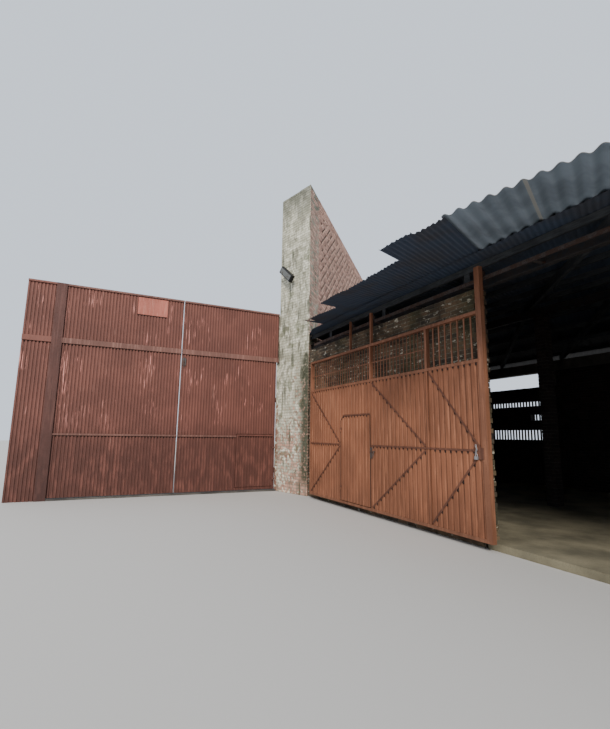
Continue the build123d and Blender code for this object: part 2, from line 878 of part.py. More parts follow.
# Places along the gate's leaves
left_low, left_high = gate_far, gate_meet - meeting_gap / 2
right_low, right_high = gate_meet + meeting_gap / 2, gate_near
right_lap = right_high + gate_lap
opening_high = right_high - gate_tube
opening_low = opening_high - yard_wicket_w - 2 * yard_wicket_gap
opening_head = yard_wicket_top + yard_wicket_gap
opening_sill = yard_wicket_sill - yard_wicket_gap
jamb_low = opening_low - gate_tube


def leaf_tubes(low, high):
    """Add the stiles and cross tubes behind a gate leaf's sheet to the sketch in hand."""
    bar(low, low + gate_tube, gate_bottom, gate_top)
    bar(high - gate_tube, high, gate_bottom, gate_top)
    for z in (gate_bottom, gate_band_z, gate_top - gate_tube):
        bar(low, high, z, z + gate_tube)


def leaf_rails(low, high, rail_end):
    """Add the rails in front of a gate leaf's sheet to the sketch in hand."""
    bar(low, high, gate_top - gate_rail_h, gate_top)
    bar(low, high, gate_band_z, gate_band_z + gate_band_h)
    bar(low, rail_end, gate_rail_z, gate_rail_z + gate_rail_h)


# Left leaf of the yard gate, with the turning barrels on its outer side
with BuildPart() as gate_left_frame:
    with BuildSketch(tube_plane):
        leaf_tubes(left_low, left_high)
    extrude(amount=gate_tube)
    with BuildSketch(rail_plane):
        leaf_rails(left_low, left_high, left_high)
    extrude(amount=gate_rail_t)
    add([turning for fixed, turning in far_hinges])

with BuildPart() as gate_left_sheet:
    with BuildSketch(skin_plane):
        bar(left_low, left_high, gate_bottom, gate_top)
    extrude(amount=gate_sheet_t)

with BuildPart() as gate_plate:
    with BuildSketch(rail_plane):
        bar(plate_y, plate_y + plate_w, gate_top - plate_drop - plate_h, gate_top - plate_drop)
    extrude(amount=plate_t)

# Right leaf, with a framed opening for the yard wicket and that wicket's fixed barrels
yard_wicket_high = opening_high - yard_wicket_gap
yard_wicket_low = opening_low + yard_wicket_gap
yard_hinges = [
    hinge((gate_x + small_knuckle_r, opening_high - yard_wicket_gap / 2, z), 90, -1,
          small_knuckle_r, small_knuckle_h, small_pin_r, gate_tube, small_strap_len)
    for z in yard_wicket_hinges
]
with BuildPart() as gate_right_frame:
    with BuildSketch(tube_plane):
        leaf_tubes(right_low, right_high)
        bar(jamb_low, opening_low, gate_bottom, opening_head)
        bar(jamb_low, opening_high, opening_head, opening_head + gate_tube)
    extrude(amount=gate_tube)
    with BuildSketch(rail_plane):
        leaf_rails(right_low, right_high, opening_low)
        bar(right_high, right_lap, gate_top - gate_rail_h, gate_top)
        bar(right_high, right_lap, gate_band_z, gate_band_z + gate_band_h)
        for z in yard_wicket_hinges:
            bar(opening_high, right_high, z, z + small_knuckle_h / 2)
    extrude(amount=gate_rail_t)
    with BuildSketch(tube_plane):
        stop_low, stop_high = opening_low - stop_lap, opening_high + stop_lap
        for z in (opening_sill, opening_head):
            bar(stop_low, stop_high, z - stop_lap, z + stop_lap)
        for y in (opening_low, opening_high):
            bar(y - stop_lap, y + stop_lap, opening_sill, opening_head)
    extrude(amount=-strap_t)
    add([turning for fixed, turning in near_hinges])
    add([fixed for fixed, turning in yard_hinges])

with BuildPart() as gate_right_sheet:
    with BuildSketch(skin_plane):
        bar(right_low, right_high, gate_bottom, gate_top)
        bar(right_high, right_lap, gate_band_z, gate_top)
        with Locations(((opening_low + opening_high) / 2, (opening_sill + opening_head) / 2)):
            Rectangle(opening_high - opening_low, opening_head - opening_sill, mode=Mode.SUBTRACT)
    extrude(amount=gate_sheet_t)

# Wicket of the yard gate: tube frame, sheet, and raised rails on its yard side
with BuildPart() as gate_wicket:
    with BuildSketch(skin_plane):
        bar(yard_wicket_low, yard_wicket_high, yard_wicket_sill, yard_wicket_top)
    extrude(amount=gate_sheet_t)
    with BuildSketch(skin_plane):
        bar(yard_wicket_low, yard_wicket_low + wicket_tube, yard_wicket_sill, yard_wicket_top)
        bar(yard_wicket_high - wicket_tube, yard_wicket_high, yard_wicket_sill, yard_wicket_top)
        for z in (yard_wicket_sill, yard_wicket_top - wicket_tube):
            bar(yard_wicket_low, yard_wicket_high, z, z + wicket_tube)
    extrude(amount=-wicket_tube)
    with BuildSketch(rail_plane):
        bar(yard_wicket_low, yard_wicket_high, yard_wicket_top - gate_rail_h, yard_wicket_top)
        bar(yard_wicket_low, yard_wicket_low + gate_rail_h, yard_wicket_sill, yard_wicket_top)
        for z in yard_wicket_hinges:
            bar(yard_wicket_high - small_strap_len, yard_wicket_high,
                z + small_knuckle_h / 2 + pin_gap, z + small_knuckle_h)
    extrude(amount=gate_rail_t)
    add([turning for fixed, turning in yard_hinges])

# Floodlight on an arm from the pier's face
pier_plane = Plane(
    origin=(*beside_arris(lamp_along, 0), lamp_z),
    x_dir=(pier_dir[0], pier_dir[1], 0),
    z_dir=(pier_dir[1], -pier_dir[0], 0),
)
with BuildPart() as lamp_arm:
    with BuildSketch(pier_plane):
        Rectangle(lamp_foot, lamp_foot)
    extrude(amount=strap_t)
    with BuildSketch(pier_plane.offset(strap_t)):
        Circle(lamp_arm_r)
    extrude(amount=lamp_out - strap_t)

with BuildPart() as floodlight:
    with BuildSketch(pier_plane.offset(lamp_out)):
        Rectangle(lamp_len, lamp_w, rotation=-lamp_tilt)
    extrude(amount=lamp_t)
    outward = Axis(pier_plane.origin, pier_plane.z_dir)
    chamfer(floodlight.faces().sort_by(outward)[-1].edges(), length=lamp_bevel)

# Each piece is labelled and written to its own file
pieces = {
    "floor_slab": floor_slab,
    "front_wall_left": front_wall_left,
    "front_wall_right": front_wall_right,
    "side_wall": side_wall,
    "rear_wall": rear_wall,
    "rear_pillars": rear_pillars,
    "rear_beam": rear_beam,
    "front_beam": front_beam,
    "ridge_beam": ridge_beam,
    "columns": columns,
    "front_rafters": front_rafters,
    "rear_rafters": rear_rafters,
    "front_purlins": front_purlins,
    "rear_purlins": rear_purlins,
    "roof_front": roof_front,
    "roof_rear": roof_rear,
    "ridge_cap": ridge_cap,
    "eave_sheets_iron": eave_sheets_iron,
    "eave_sheets_cement": eave_sheets_cement,
    "end_pier": end_pier,
    "party_wall": party_wall,
    "door_track": door_track,
    "track_brackets": track_brackets,
    "door_frame": door_frame,
    "door_sheets": door_sheets,
    "door_braces": door_braces,
    "door_grille": door_grille,
    "door_wheels": door_wheels,
    "door_hasp": door_hasp,
    "wicket_frame": wicket_frame,
    "wicket_sheet": wicket_sheet,
    "gate_post": gate_post,
    "gate_post_cover": gate_post_cover,
    "gate_side_panel": gate_side_panel,
    "gate_sill": gate_sill,
    "gate_pier_post": gate_pier_post,
    "gate_hinge_pins": gate_hinge_pins,
    "gate_left_frame": gate_left_frame,
    "gate_left_sheet": gate_left_sheet,
    "gate_plate": gate_plate,
    "gate_right_frame": gate_right_frame,
    "gate_right_sheet": gate_right_sheet,
    "gate_wicket": gate_wicket,
    "lamp_arm": lamp_arm,
    "floodlight": floodlight,
}
for name, piece in pieces.items():
    piece.part.label = name
    export_step(piece.part, f"parts/{name}.step")
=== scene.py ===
"""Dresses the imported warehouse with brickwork, wavy roof sheets, ribbed iron and worn finishes.

Everything is in metres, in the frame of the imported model: X along the front wall, Y into the
building and Z up. Each new piece is worked out with numpy and rides the body that carries it.
"""
import math

import bpy
import numpy as np
from mathutils import Matrix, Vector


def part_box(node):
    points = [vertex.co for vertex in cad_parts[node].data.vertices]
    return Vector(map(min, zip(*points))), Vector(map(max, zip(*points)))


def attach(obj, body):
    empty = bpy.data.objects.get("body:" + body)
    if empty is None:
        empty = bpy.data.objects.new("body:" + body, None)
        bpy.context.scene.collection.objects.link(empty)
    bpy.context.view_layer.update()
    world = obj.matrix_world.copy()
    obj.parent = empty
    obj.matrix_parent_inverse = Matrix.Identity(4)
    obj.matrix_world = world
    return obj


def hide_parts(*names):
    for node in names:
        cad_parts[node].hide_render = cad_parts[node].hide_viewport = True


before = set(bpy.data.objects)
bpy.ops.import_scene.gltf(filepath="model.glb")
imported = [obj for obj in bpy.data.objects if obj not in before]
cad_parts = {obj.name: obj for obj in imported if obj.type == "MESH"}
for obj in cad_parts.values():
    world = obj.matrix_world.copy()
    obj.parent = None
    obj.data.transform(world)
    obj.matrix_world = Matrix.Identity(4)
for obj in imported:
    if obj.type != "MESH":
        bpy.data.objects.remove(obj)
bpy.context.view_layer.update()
chance = np.random.default_rng(46)

# Plan and heights of the building, as the model has them
PLOT_SKEW, SHEET_SKEW, PIER_TURN = (math.radians(a) for a in (46, 29, 15))
SKEW, SLANT, LEAN = math.tan(PLOT_SKEW), 1 / math.cos(PLOT_SKEW), math.tan(SHEET_SKEW)
ARRIS = np.array([-8.6, -0.175])
WALL_FRONT, WALL_BACK = -0.125, 0.125
REAR_INNER, REAR_OUTER = 7.825, 8.075
DOOR_LEFT, DOOR_RIGHT, RIGHT_X = -2.86, 2.6, 5.4
MAIN_EAVE, REAR_EAVE, VERGE = -0.5, 8.725, 0.12
RIDGE_Y, SLOPE, ROOF_Z = 3.975, 0.14, 4.298
PURLIN_H, SHEET_T = 0.1, 0.018
# Brickwork: height of a course, width of a joint, how deep it is raked and how far a brick is let in
COURSE, JOINT, RECESS = 0.078, 0.011, 0.011
LET_IN = RECESS + 0.002


def left_x(y):
    """X of the party wall's face at a depth y: it runs back to the left at the plot's skew."""
    return ARRIS[0] - (y - ARRIS[1]) * SKEW


def right_x(y):
    """X of the side wall's outer face at a depth y, parallel to the party wall."""
    return RIGHT_X - (y - WALL_FRONT) * SKEW


def under_sheet(y):
    """Height under the roof sheets: it falls by the slope for each metre from the ridge."""
    return ROOF_Z + RIDGE_Y * SLOPE - np.abs(y - RIDGE_Y) * SLOPE


# Shapes as whole arrays: a part is its points, the corners of its faces and a tone for each face


def shell(upper, lower, tone=0.5, tone_under=None):
    """Closed sheet between two grids of points: both faces, and a strip round their rim."""
    rows, columns = upper.shape[:2]
    count = rows * columns
    first = (np.arange(rows - 1)[:, None] * columns + np.arange(columns - 1)).ravel()
    face = np.stack([first, first + 1, first + columns + 1, first + columns], -1)
    rim = np.concatenate([np.arange(columns), np.arange(2, rows + 1) * columns - 1,
                          count - 2 - np.arange(columns - 1), np.arange(rows - 2, 0, -1) * columns])
    ahead = np.roll(rim, -1)
    side = np.stack([rim, rim + count, ahead + count, ahead], -1)
    points = np.concatenate([upper.reshape(-1, 3), lower.reshape(-1, 3)])
    corners = np.concatenate([face, face[:, ::-1] + count, side])
    a, b, _, d = points[face[len(face) // 2]]
    if np.cross(b - a, d - a) @ (a - points[face[len(face) // 2][0] + count]) < 0:
        corners = corners[:, ::-1]
    under = tone if tone_under is None else tone_under
    tones = [np.broadcast_to(t, len(face)) for t in (tone, under)]
    return points, corners, np.concatenate([*tones, np.full(len(side), np.mean(tone))])


BOX_CORNERS = np.array(
    [[4, 5, 6, 7], [3, 2, 1, 0], [0, 1, 5, 4], [1, 2, 6, 5], [2, 3, 7, 6], [3, 0, 4, 7]])


def blocks(near, far, tones=0.5):
    """Six-sided solids, from the x, y and z of the four corners at one end and at the other."""
    ends = [np.stack(np.broadcast_arrays(*end), -1) for end in (near, far)]
    points = np.concatenate(ends, -2).reshape(-1, 8, 3)
    count = len(points)
    corners = (np.arange(count)[:, None, None] * 8 + BOX_CORNERS).reshape(-1, 4)
    return points.reshape(-1, 3), corners, np.repeat(np.broadcast_to(tones, count), 6)


def prism(plan, foot, head, tone=-1.0):
    """A solid over a four-cornered plan, anticlockwise seen from above, from foot to head."""
    x, y = np.asarray(plan, float).T
    return blocks((x, y, foot), (x, y, head), tone)


def oblong(x0, y0, x1, y1):
    """Plan of a rectangle between two corners."""
    return [(x0, y0), (x1, y0), (x1, y1), (x0, y1)]


def box_part(low, high, tone=0.5):
    """An upright box between two corners."""
    return prism(oblong(*low[:2], *high[:2]), low[2], high[2], tone)


def tube_part(path, radius, sides=8, tone=0.5, closed=False, beside=(0.3, 0.2, 0.93)):
    """A round bar: a circle carried along a path, square to the path's direction at each point.

    The circle starts at right angles to a direction beside the path, which is never along it.
    """
    path = np.asarray(path, float)
    along = np.roll(path, -1, 0) - np.roll(path, 1, 0) if closed else np.gradient(path, axis=0)
    along /= np.linalg.norm(along, axis=1)[:, None]
    across = np.cross(along, beside)
    across /= np.linalg.norm(across, axis=1)[:, None]
    up = np.cross(across, along)
    turn = (np.arange(sides) * 2 * math.pi / sides)[None, :, None]
    ring = path[:, None] + radius * (np.cos(turn) * across[:, None] + np.sin(turn) * up[:, None])
    rows = len(path)
    i, j = np.meshgrid(np.arange(rows if closed else rows - 1), np.arange(sides), indexing="ij")
    i2, j2 = (i + 1) % rows, (j + 1) % sides
    corners = np.stack([i * sides + j, i * sides + j2, i2 * sides + j2, i2 * sides + j], -1)
    corners = corners.reshape(-1, 4)
    if not closed:
        k = np.arange(0, sides - 2, 2)
        cap = np.stack([np.zeros_like(k), k + 3, k + 2, k + 1], -1)
        cap = np.where(cap >= sides, 0, cap)
        corners = np.concatenate([corners, cap, cap[:, [0, 3, 2, 1]] + (rows - 1) * sides])
    return ring.reshape(-1, 3), corners, np.full(len(corners), tone)


def add_object(name, data):
    """A new object in the scene, at the origin."""
    added = bpy.data.objects.new(name, data)
    bpy.context.scene.collection.objects.link(added)
    return added


def new_piece(name, body, finish, parts, replaced=(), smooth_under=None):
    """One object from several parts: points stacked, corners counted on, tones kept per face."""
    points, corners, tones = zip(*parts)
    starts = np.cumsum([0] + [len(p) for p in points[:-1]])
    points, tones = np.concatenate(points), np.concatenate(tones)
    corners = np.concatenate([c + s for c, s in zip(corners, starts)])
    # A corner named twice in a row closes a quad to a triangle
    keep = corners != np.roll(corners, 1, 1)
    sizes = keep.sum(1)
    mesh = bpy.data.meshes.new(name)
    mesh.vertices.add(len(points))
    mesh.vertices.foreach_set("co", points.astype(np.float32).ravel())
    mesh.loops.add(int(sizes.sum()))
    mesh.loops.foreach_set("vertex_index", corners[keep].astype(np.int32))
    mesh.polygons.add(len(corners))
    mesh.polygons.foreach_set("loop_start", np.concatenate([[0], np.cumsum(sizes)[:-1]]).astype(np.int32))
    mesh.update(calc_edges=True)
    mesh.attributes.new("tone", "FLOAT", "FACE").data.foreach_set("value", tones.astype(np.float32))
    if smooth_under is None:
        mesh.shade_flat()
    else:
        mesh.shade_smooth()
        mesh.set_sharp_from_angle(angle=math.radians(smooth_under))
    mesh.materials.append(finish)
    piece = add_object(name, mesh)
    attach(piece, body)
    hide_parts(*replaced)


# Finishes


def paint(*screen):
    """A colour by its screen values from 0 to 255, as the shader wants it."""
    return tuple((c / 255 / 12.92 if c < 10.3 else ((c / 255 + 0.055) / 1.055) ** 2.4) for c in screen)


def dim(colour, share):
    """The same colour with a share of its light."""
    return tuple(c * share for c in colour)


class Term:
    """One socket of a finish, so that shader maths reads as plain sums."""

    def __init__(self, finish, socket):
        self.finish, self.socket = finish, socket

    def maths(self, operation, *terms):
        return self.finish.node(
            "ShaderNodeMath", {"operation": operation}, dict(enumerate(terms)))["Value"]

    def __add__(self, other):
        return self.maths("ADD", self, other)

    def __sub__(self, other):
        return self.maths("SUBTRACT", self, other)

    def __rsub__(self, other):
        return self.maths("SUBTRACT", other, self)

    def __mul__(self, other):
        return self.maths("MULTIPLY", self, other)

    __radd__, __rmul__ = __add__, __mul__


class Finish:
    """A material worked out from the place on the object and from each face's tone."""

    def __init__(self, name):
        self.material = bpy.data.materials.new(name)
        self.material.use_nodes = True
        self.tree = self.material.node_tree
        self.place = self.node("ShaderNodeTexCoord")["Object"]
        split = self.node("ShaderNodeSeparateXYZ", {}, {0: self.place})
        self.x, self.y, self.z = split["X"], split["Y"], split["Z"]
        self.tone = self.node("ShaderNodeAttribute", {"attribute_name": "tone"})["Fac"]

    def node(self, kind, settings=(), sockets=()):
        """A new node with its settings and sockets, given back as its outputs."""
        made = self.tree.nodes.new(kind)
        for key, value in dict(settings).items():
            setattr(made, key, value)
        self.plug(made, dict(sockets))
        return {s.name: Term(self, s) for s in made.outputs if s.enabled}

    def plug(self, node, sockets):
        """Links the sockets of a node that are given as terms, and sets the others."""
        for key, value in sockets.items():
            if isinstance(value, Term):
                self.tree.links.new(value.socket, node.inputs[key])
            else:
                node.inputs[key].default_value = value

    def noise(self, size, tall=1, detail=3.0, rough=0.55, wide=1, deep=1):
        """Cloudy values about 0.5, with patches of about that size in metres, stretched along an axis."""
        scale = [1 / (size * s) for s in (wide, deep, tall)]
        spot = self.node("ShaderNodeVectorMath", {"operation": "MULTIPLY"}, {0: self.place, 1: scale})
        return self.node("ShaderNodeTexNoise", {}, {
            "Vector": spot["Vector"], "Scale": 1.0, "Detail": detail, "Roughness": rough})["Fac"]

    def rise(self, value, low, high):
        """0 below low, 1 above high, and a smooth step between; falls where low is above high."""
        return self.node("ShaderNodeMapRange", {"interpolation_type": "SMOOTHSTEP"}, {
            "Value": value, "From Min": low, "From Max": high})["Result"]

    def blend(self, mask, a, b):
        """Colour a where the mask is 0 and b where it is 1."""
        a, b = ((*c, 1) if isinstance(c, tuple) else c for c in (a, b))
        return self.node("ShaderNodeMix", {"data_type": "RGBA"}, {0: mask, 6: a, 7: b})["Result"]

    def coat(self, mask, colour):
        """Lays a colour over the face where the mask is 1."""
        self.face = self.blend(mask, self.face, colour)

    def done(self, roughness, relief, depth, metallic=0.0):
        """Joins the face's colour, roughness, relief and metal to the shader, and gives the material."""
        bump = self.node("ShaderNodeBump", {}, {"Strength": 1.0, "Distance": depth, "Height": relief})
        self.plug(self.tree.nodes["Principled BSDF"], {
            "Specular IOR Level": 0.3, "Base Color": self.face, "Roughness": roughness,
            "Metallic": metallic, "Normal": bump["Normal"]})
        return self.material


def brick_finish(name, dull, warm, mortar, splash, blobs, soot, moss):
    """Brick faces by tone between two clays, pale joints and blobs of mortar, soot and moss, and painted
    shade at the back of pockets.
    """
    f = Finish(name)
    clouds, grain, patch = f.noise(0.35), f.noise(0.012, detail=4), f.noise(0.05, detail=2)
    clay = f.blend(f.rise(f.tone + 0.35 * (patch - 0.5), 0.1, 0.9), dull, warm)
    clay = f.blend(f.rise(grain, 0.45, 0.75) * 0.45, clay, dim(dull, 0.45))
    joint = f.blend(f.rise(patch, 0.35, 0.65), dim(mortar, 0.5), mortar)
    # Painted shade: faces with a tone below -1.4, the backs of the party wall's header pockets, are made
    # nearly black
    joint = f.blend(f.rise(f.tone, -1.4, -1.6), joint, paint(52, 42, 38))
    f.face = f.blend(f.rise(f.tone, -0.6, -0.4), joint, clay)
    lump = f.rise(f.noise(0.14, tall=0.5), 0.71 - 0.1 * blobs, 0.75 - 0.1 * blobs)
    f.coat(lump * blobs, splash)
    f.coat(f.rise(clouds, 0.42, 0.7) * soot, paint(38, 33, 28))
    f.coat(f.rise(f.noise(0.8, tall=2), 0.5, 0.68) * moss, paint(58, 66, 38))
    return f.done(0.92, grain + 0.6 * patch + 0.4 * lump, 0.004)


def limewash_finish():
    """Old limewash over brick: pale clouds, worn to clay low down, with moss, runs, damp and soot."""
    f = Finish("limewash_worn")
    clouds, grain, patch = f.noise(0.4), f.noise(0.02, detail=5), f.noise(0.09)
    is_brick = f.rise(f.tone, -0.6, -0.4)
    clay = f.blend(f.tone, paint(138, 104, 88), paint(202, 160, 140))
    clay = f.blend(is_brick, paint(128, 122, 108), clay)
    wash = f.blend(f.rise(patch, 0.3, 0.7), paint(180, 176, 154), paint(238, 233, 214))
    wash = f.blend(is_brick * 0.35 + f.rise(clouds, 0.38, 0.6) * 0.65, paint(142, 140, 120), wash)
    worn = f.rise(patch + 0.5 * (f.noise(1.1) - 0.5) + 0.06 * f.z, 0.5, 0.62)
    wash = f.blend(f.rise(grain, 0.5, 0.72) * 0.6, wash, paint(112, 112, 94))
    f.face = f.blend(worn * (0.6 + 0.4 * is_brick), clay, wash)
    f.coat(f.rise(f.noise(0.14, tall=6), 0.55, 0.66) * 0.8, paint(72, 75, 60))
    f.coat(f.rise(clouds, 0.54, 0.66) * 0.6, paint(94, 98, 72))
    f.coat(f.rise(f.noise(0.22, tall=2.4, detail=4), 0.55, 0.66) * 0.6, paint(104, 100, 86))
    damp = f.rise(f.x + 0.3 * (clouds - 0.5), -9.06, -8.76) * f.rise(f.z + 1.5 * clouds, 4.9, 4.3)
    f.coat(damp * f.rise(patch, 0.26, 0.5) * f.rise(f.z, 0.1, 0.5) * 0.92, paint(56, 58, 42))
    f.coat(f.rise(f.z + 1.2 * (f.noise(0.25, tall=3) - 0.5), 7.7, 8.6) * 0.65, paint(84, 86, 76))
    return f.done(0.95, grain + 0.8 * patch, 0.005)


def painted_iron(name, coat, pale, rust, foot_dirt=0.5, run=0.05, height=(0.1, 1.2), faded=0.5,
                 bright=None):
    """Red oxide paint faded in upright runs, with rust freckles, dirt above the foot and painted shade in
    the ribs' troughs.

    Where a bright colour is given, scratches of it lie in clusters, well above the foot.
    """
    f = Finish(name)
    runs, broad, spots = f.noise(run, tall=14), f.noise(0.9), f.noise(0.03, detail=4, rough=0.65)
    f.face = f.blend(f.rise(broad, 0.34, 0.64), coat, dim(coat, 0.74))
    # Painted shade: faces with a trough tone are darkened as if the troughs lay in shade
    f.coat(f.rise(f.tone, 0.6, 1.0) * 0.55, dim(coat, 0.4))
    f.coat(f.rise(runs, faded, faded + 0.16) * 0.5, pale)
    if bright:
        scratch = f.rise(f.noise(run * 0.5, tall=26, detail=2), 0.61, 0.66)
        cluster = f.rise(f.noise(0.6, tall=1.6), 0.53, 0.6) * f.rise(f.z, 1.3, 2.2)
        f.coat(scratch * cluster * 0.95, bright)
    f.coat(f.rise(f.noise(run * 0.6, tall=20), 0.54, 0.72) * 0.62, dim(coat, 0.5))
    f.coat(f.rise(spots, 0.62, 0.72) * 0.75, rust)
    low = f.rise(f.z + 0.6 * (f.noise(0.4) - 0.5), height[1], height[0])
    f.coat(low * foot_dirt * f.rise(f.noise(0.12, tall=3), 0.25, 0.6), dim(coat, 0.42))
    return f.done(f.rise(spots, 0.3, 0.8) * 0.25 + 0.55, spots + 0.4 * broad, 0.0015)


def roof_iron_finish():
    """Old iron sheets: grey-brown rust on top; the dark blue-grey underneath is painted shade, nearly black
    towards the rear.
    """
    f = Finish("roof_iron_old")
    broad, spots = f.noise(0.7), f.noise(0.06, detail=4)
    top = f.blend(f.rise(broad, 0.35, 0.65), paint(104, 98, 94), paint(104, 84, 72))
    top = f.blend(f.rise(f.noise(0.1, deep=6), 0.5, 0.7) * 0.6, top, paint(72, 64, 60))
    # Painted shade: the undersides get a darker, bluish copy of the iron's colour, darker still towards the
    # rear
    under = f.blend(f.rise(broad, 0.4, 0.7), paint(70, 83, 102), paint(74, 78, 87))
    under = f.blend(f.rise(f.y, 4.5, 7.4) * 0.96, under, paint(14, 14, 16))
    f.face = f.blend(f.rise(f.tone, 0.3, 0.5), under, top)
    f.coat(f.rise(spots, 0.6, 0.75) * 0.4, paint(62, 48, 42))
    return f.done(0.75, spots, 0.002, metallic=0.15)


def cement_finish():
    """Cement sheets weathered grey on top, with pale edges; the blue-grey undersides are painted shade lit
    by the sky.
    """
    f = Finish("cement_weathered")
    broad, grain = f.noise(0.6), f.noise(0.015, detail=4)
    top = f.blend(f.rise(broad, 0.35, 0.7), paint(120, 116, 108), paint(78, 78, 72))
    # Painted shade: the undersides get a blue-grey copy of the cement's colour
    under = f.blend(f.rise(f.noise(0.5), 0.35, 0.7), paint(140, 154, 168), paint(118, 130, 142))
    under = f.blend(f.rise(f.tone, 0.15, 0.5), under, paint(166, 166, 160))
    is_top = f.rise(f.tone, 0.5, 0.7)
    f.face = f.blend(is_top, under, top)
    f.coat(f.rise(f.noise(0.12, deep=5), 0.52, 0.7) * (is_top * 0.4 + 0.1), paint(62, 62, 62))
    return f.done(0.93, grain + broad, 0.002)


def timber_finish():
    """Sawn timber, dark grey, its grain along the longest runs; painted shade makes it nearly black towards
    the rear.
    """
    f = Finish("timber_old")
    fibre = f.noise(0.02, tall=0.6, detail=4, wide=8, deep=8)
    f.face = f.blend(f.rise(fibre, 0.35, 0.7), paint(72, 75, 78), paint(50, 53, 57))
    f.coat(f.rise(f.noise(0.5), 0.45, 0.7) * 0.6, paint(40, 42, 46))
    # Painted shade: darker towards the rear of the building
    f.coat(f.rise(f.y, 6.8, 7.8) * 0.85, paint(22, 22, 24))
    return f.done(0.9, fibre, 0.002)


def concrete_finish(name, pale, dark):
    """Concrete with broad stains and fine grit."""
    f = Finish(name)
    broad, grit = f.noise(0.7, detail=4), f.noise(0.012)
    f.face = f.blend(f.rise(broad, 0.3, 0.7), dark, pale)
    f.coat(f.rise(grit, 0.5, 0.75) * 0.4, dim(dark, 0.6))
    return f.done(0.93, grit + broad, 0.002)


def bare_steel(name, tint, rust, worn):
    """Old steel: dull metal under patches and freckles of rust."""
    f = Finish(name)
    patch, spots = f.noise(0.12, detail=4), f.noise(0.015, detail=4)
    mask = f.rise(patch + 0.4 * (spots - 0.5), worn, worn + 0.2)
    f.face = f.blend(mask, tint, f.blend(spots, rust, dim(rust, 0.45)))
    return f.done(mask * 0.35 + 0.5, spots, 0.001, metallic=0.7 - 0.7 * mask)


BRICK_OLD = brick_finish("brick_of_the_store", paint(72, 64, 55), paint(108, 88, 68),
                         paint(128, 120, 102), paint(182, 175, 157), 0.95, 0.7, 0.4)
BRICK_OUTSIDE = brick_finish("brick_of_the_outside", paint(104, 80, 64), paint(142, 108, 84),
                             paint(142, 134, 118), paint(160, 152, 136), 0.45, 0.35, 0.35)
# Painted shade: nearly black clays for brick deep inside the building, with patches of soot
BRICK_SOOT_AND_SHADE = brick_finish("brick_soot_and_painted_shade", paint(38, 34, 33), paint(54, 44, 40),
                           paint(72, 68, 64), paint(90, 86, 80), 0.3, 0.8, 0.0)
# The party wall's pale clays are partly painted sunlight on its face
BRICK_PARTY = brick_finish("brick_of_the_party_wall", paint(160, 126, 112), paint(206, 166, 148),
                           paint(176, 156, 144), paint(190, 172, 158), 0.2, 0.2, 0.05)
LIMEWASH = limewash_finish()
LEAF_PAINT = painted_iron(
    "leaf_red_oxide", paint(137, 87, 61), paint(164, 110, 81), paint(98, 56, 38))
LEAF_FRAME = painted_iron(
    "leaf_frame_red_oxide", paint(132, 87, 64), paint(158, 108, 82), paint(92, 55, 42))
# The flats' darker coat is partly painted shade: it stands for the dark line their shadow makes
LEAF_FLATS = painted_iron(
    "leaf_flats_red_oxide", paint(98, 62, 47), paint(124, 82, 63), paint(80, 48, 37))
GATE_PAINT = painted_iron(
    "gate_maroon", paint(119, 75, 64), paint(176, 132, 120), paint(88, 51, 43), 1.0, run=0.04,
    height=(0.8, 2.3), faded=0.64, bright=paint(208, 140, 128))
GATE_FRAME = painted_iron("gate_frame_maroon", paint(116, 80, 70), paint(148, 108, 96),
                          paint(90, 54, 45), 0.8, height=(0.3, 2.2))
# The post's paint is darker than the frame's as painted shade from the neighbouring building
GATE_POST = painted_iron("gate_post_maroon", paint(86, 54, 47), paint(104, 70, 62),
                         paint(68, 42, 36), 0.8, height=(0.3, 2.2))
PLATE_RUST = painted_iron(
    "plate_rusty", paint(178, 104, 88), paint(190, 128, 112), paint(128, 72, 54), 0.0, run=0.03)
ROOF_IRON, CEMENT, TIMBER = roof_iron_finish(), cement_finish(), timber_finish()
FLOOR = concrete_finish("floor_concrete", paint(134, 126, 103), paint(92, 87, 71))
BEAM_CONCRETE = concrete_finish("beam_concrete", paint(96, 92, 86), paint(60, 57, 54))
# Painted shade: a dark finish for blocks and strips that stand for shadows in troughs, gaps and under the
# gate's plate
PAINTED_SHADE = concrete_finish("painted_shade_dark", paint(58, 40, 34), paint(36, 26, 23))
BEAM_STEEL = bare_steel("steel_of_the_beams", paint(52, 54, 58), paint(58, 52, 50), 0.36)
OLD_STEEL = bare_steel("steel_rusty", paint(92, 88, 86), paint(92, 62, 48), 0.42)
TRACK_STEEL = bare_steel("steel_of_the_track", paint(84, 76, 74), paint(74, 56, 48), 0.38)
CHAIN_STEEL = bare_steel("steel_of_the_chain", paint(158, 158, 160), paint(120, 96, 80), 0.62)
LAMP_BODY = bare_steel("lamp_casting", paint(44, 43, 44), paint(58, 50, 46), 0.6)
LAMP_GLASS = bare_steel("lamp_glass_dusty", paint(116, 116, 112), paint(90, 86, 78), 0.5)

# Brickwork


def course_cuts(foot, head, bands=()):
    """Heights that cut a wall into courses of nearly one height, with some bands kept as courses."""
    cuts = [np.array([foot])]
    for low, high in [*bands, (head, head)]:
        at = cuts[-1][-1]
        count = max(1, round((low - at) / COURSE))
        cuts.append(np.linspace(at, low, count + 1)[1:])
        if high > low:
            cuts.append(np.array([high]))
    return np.concatenate(cuts)


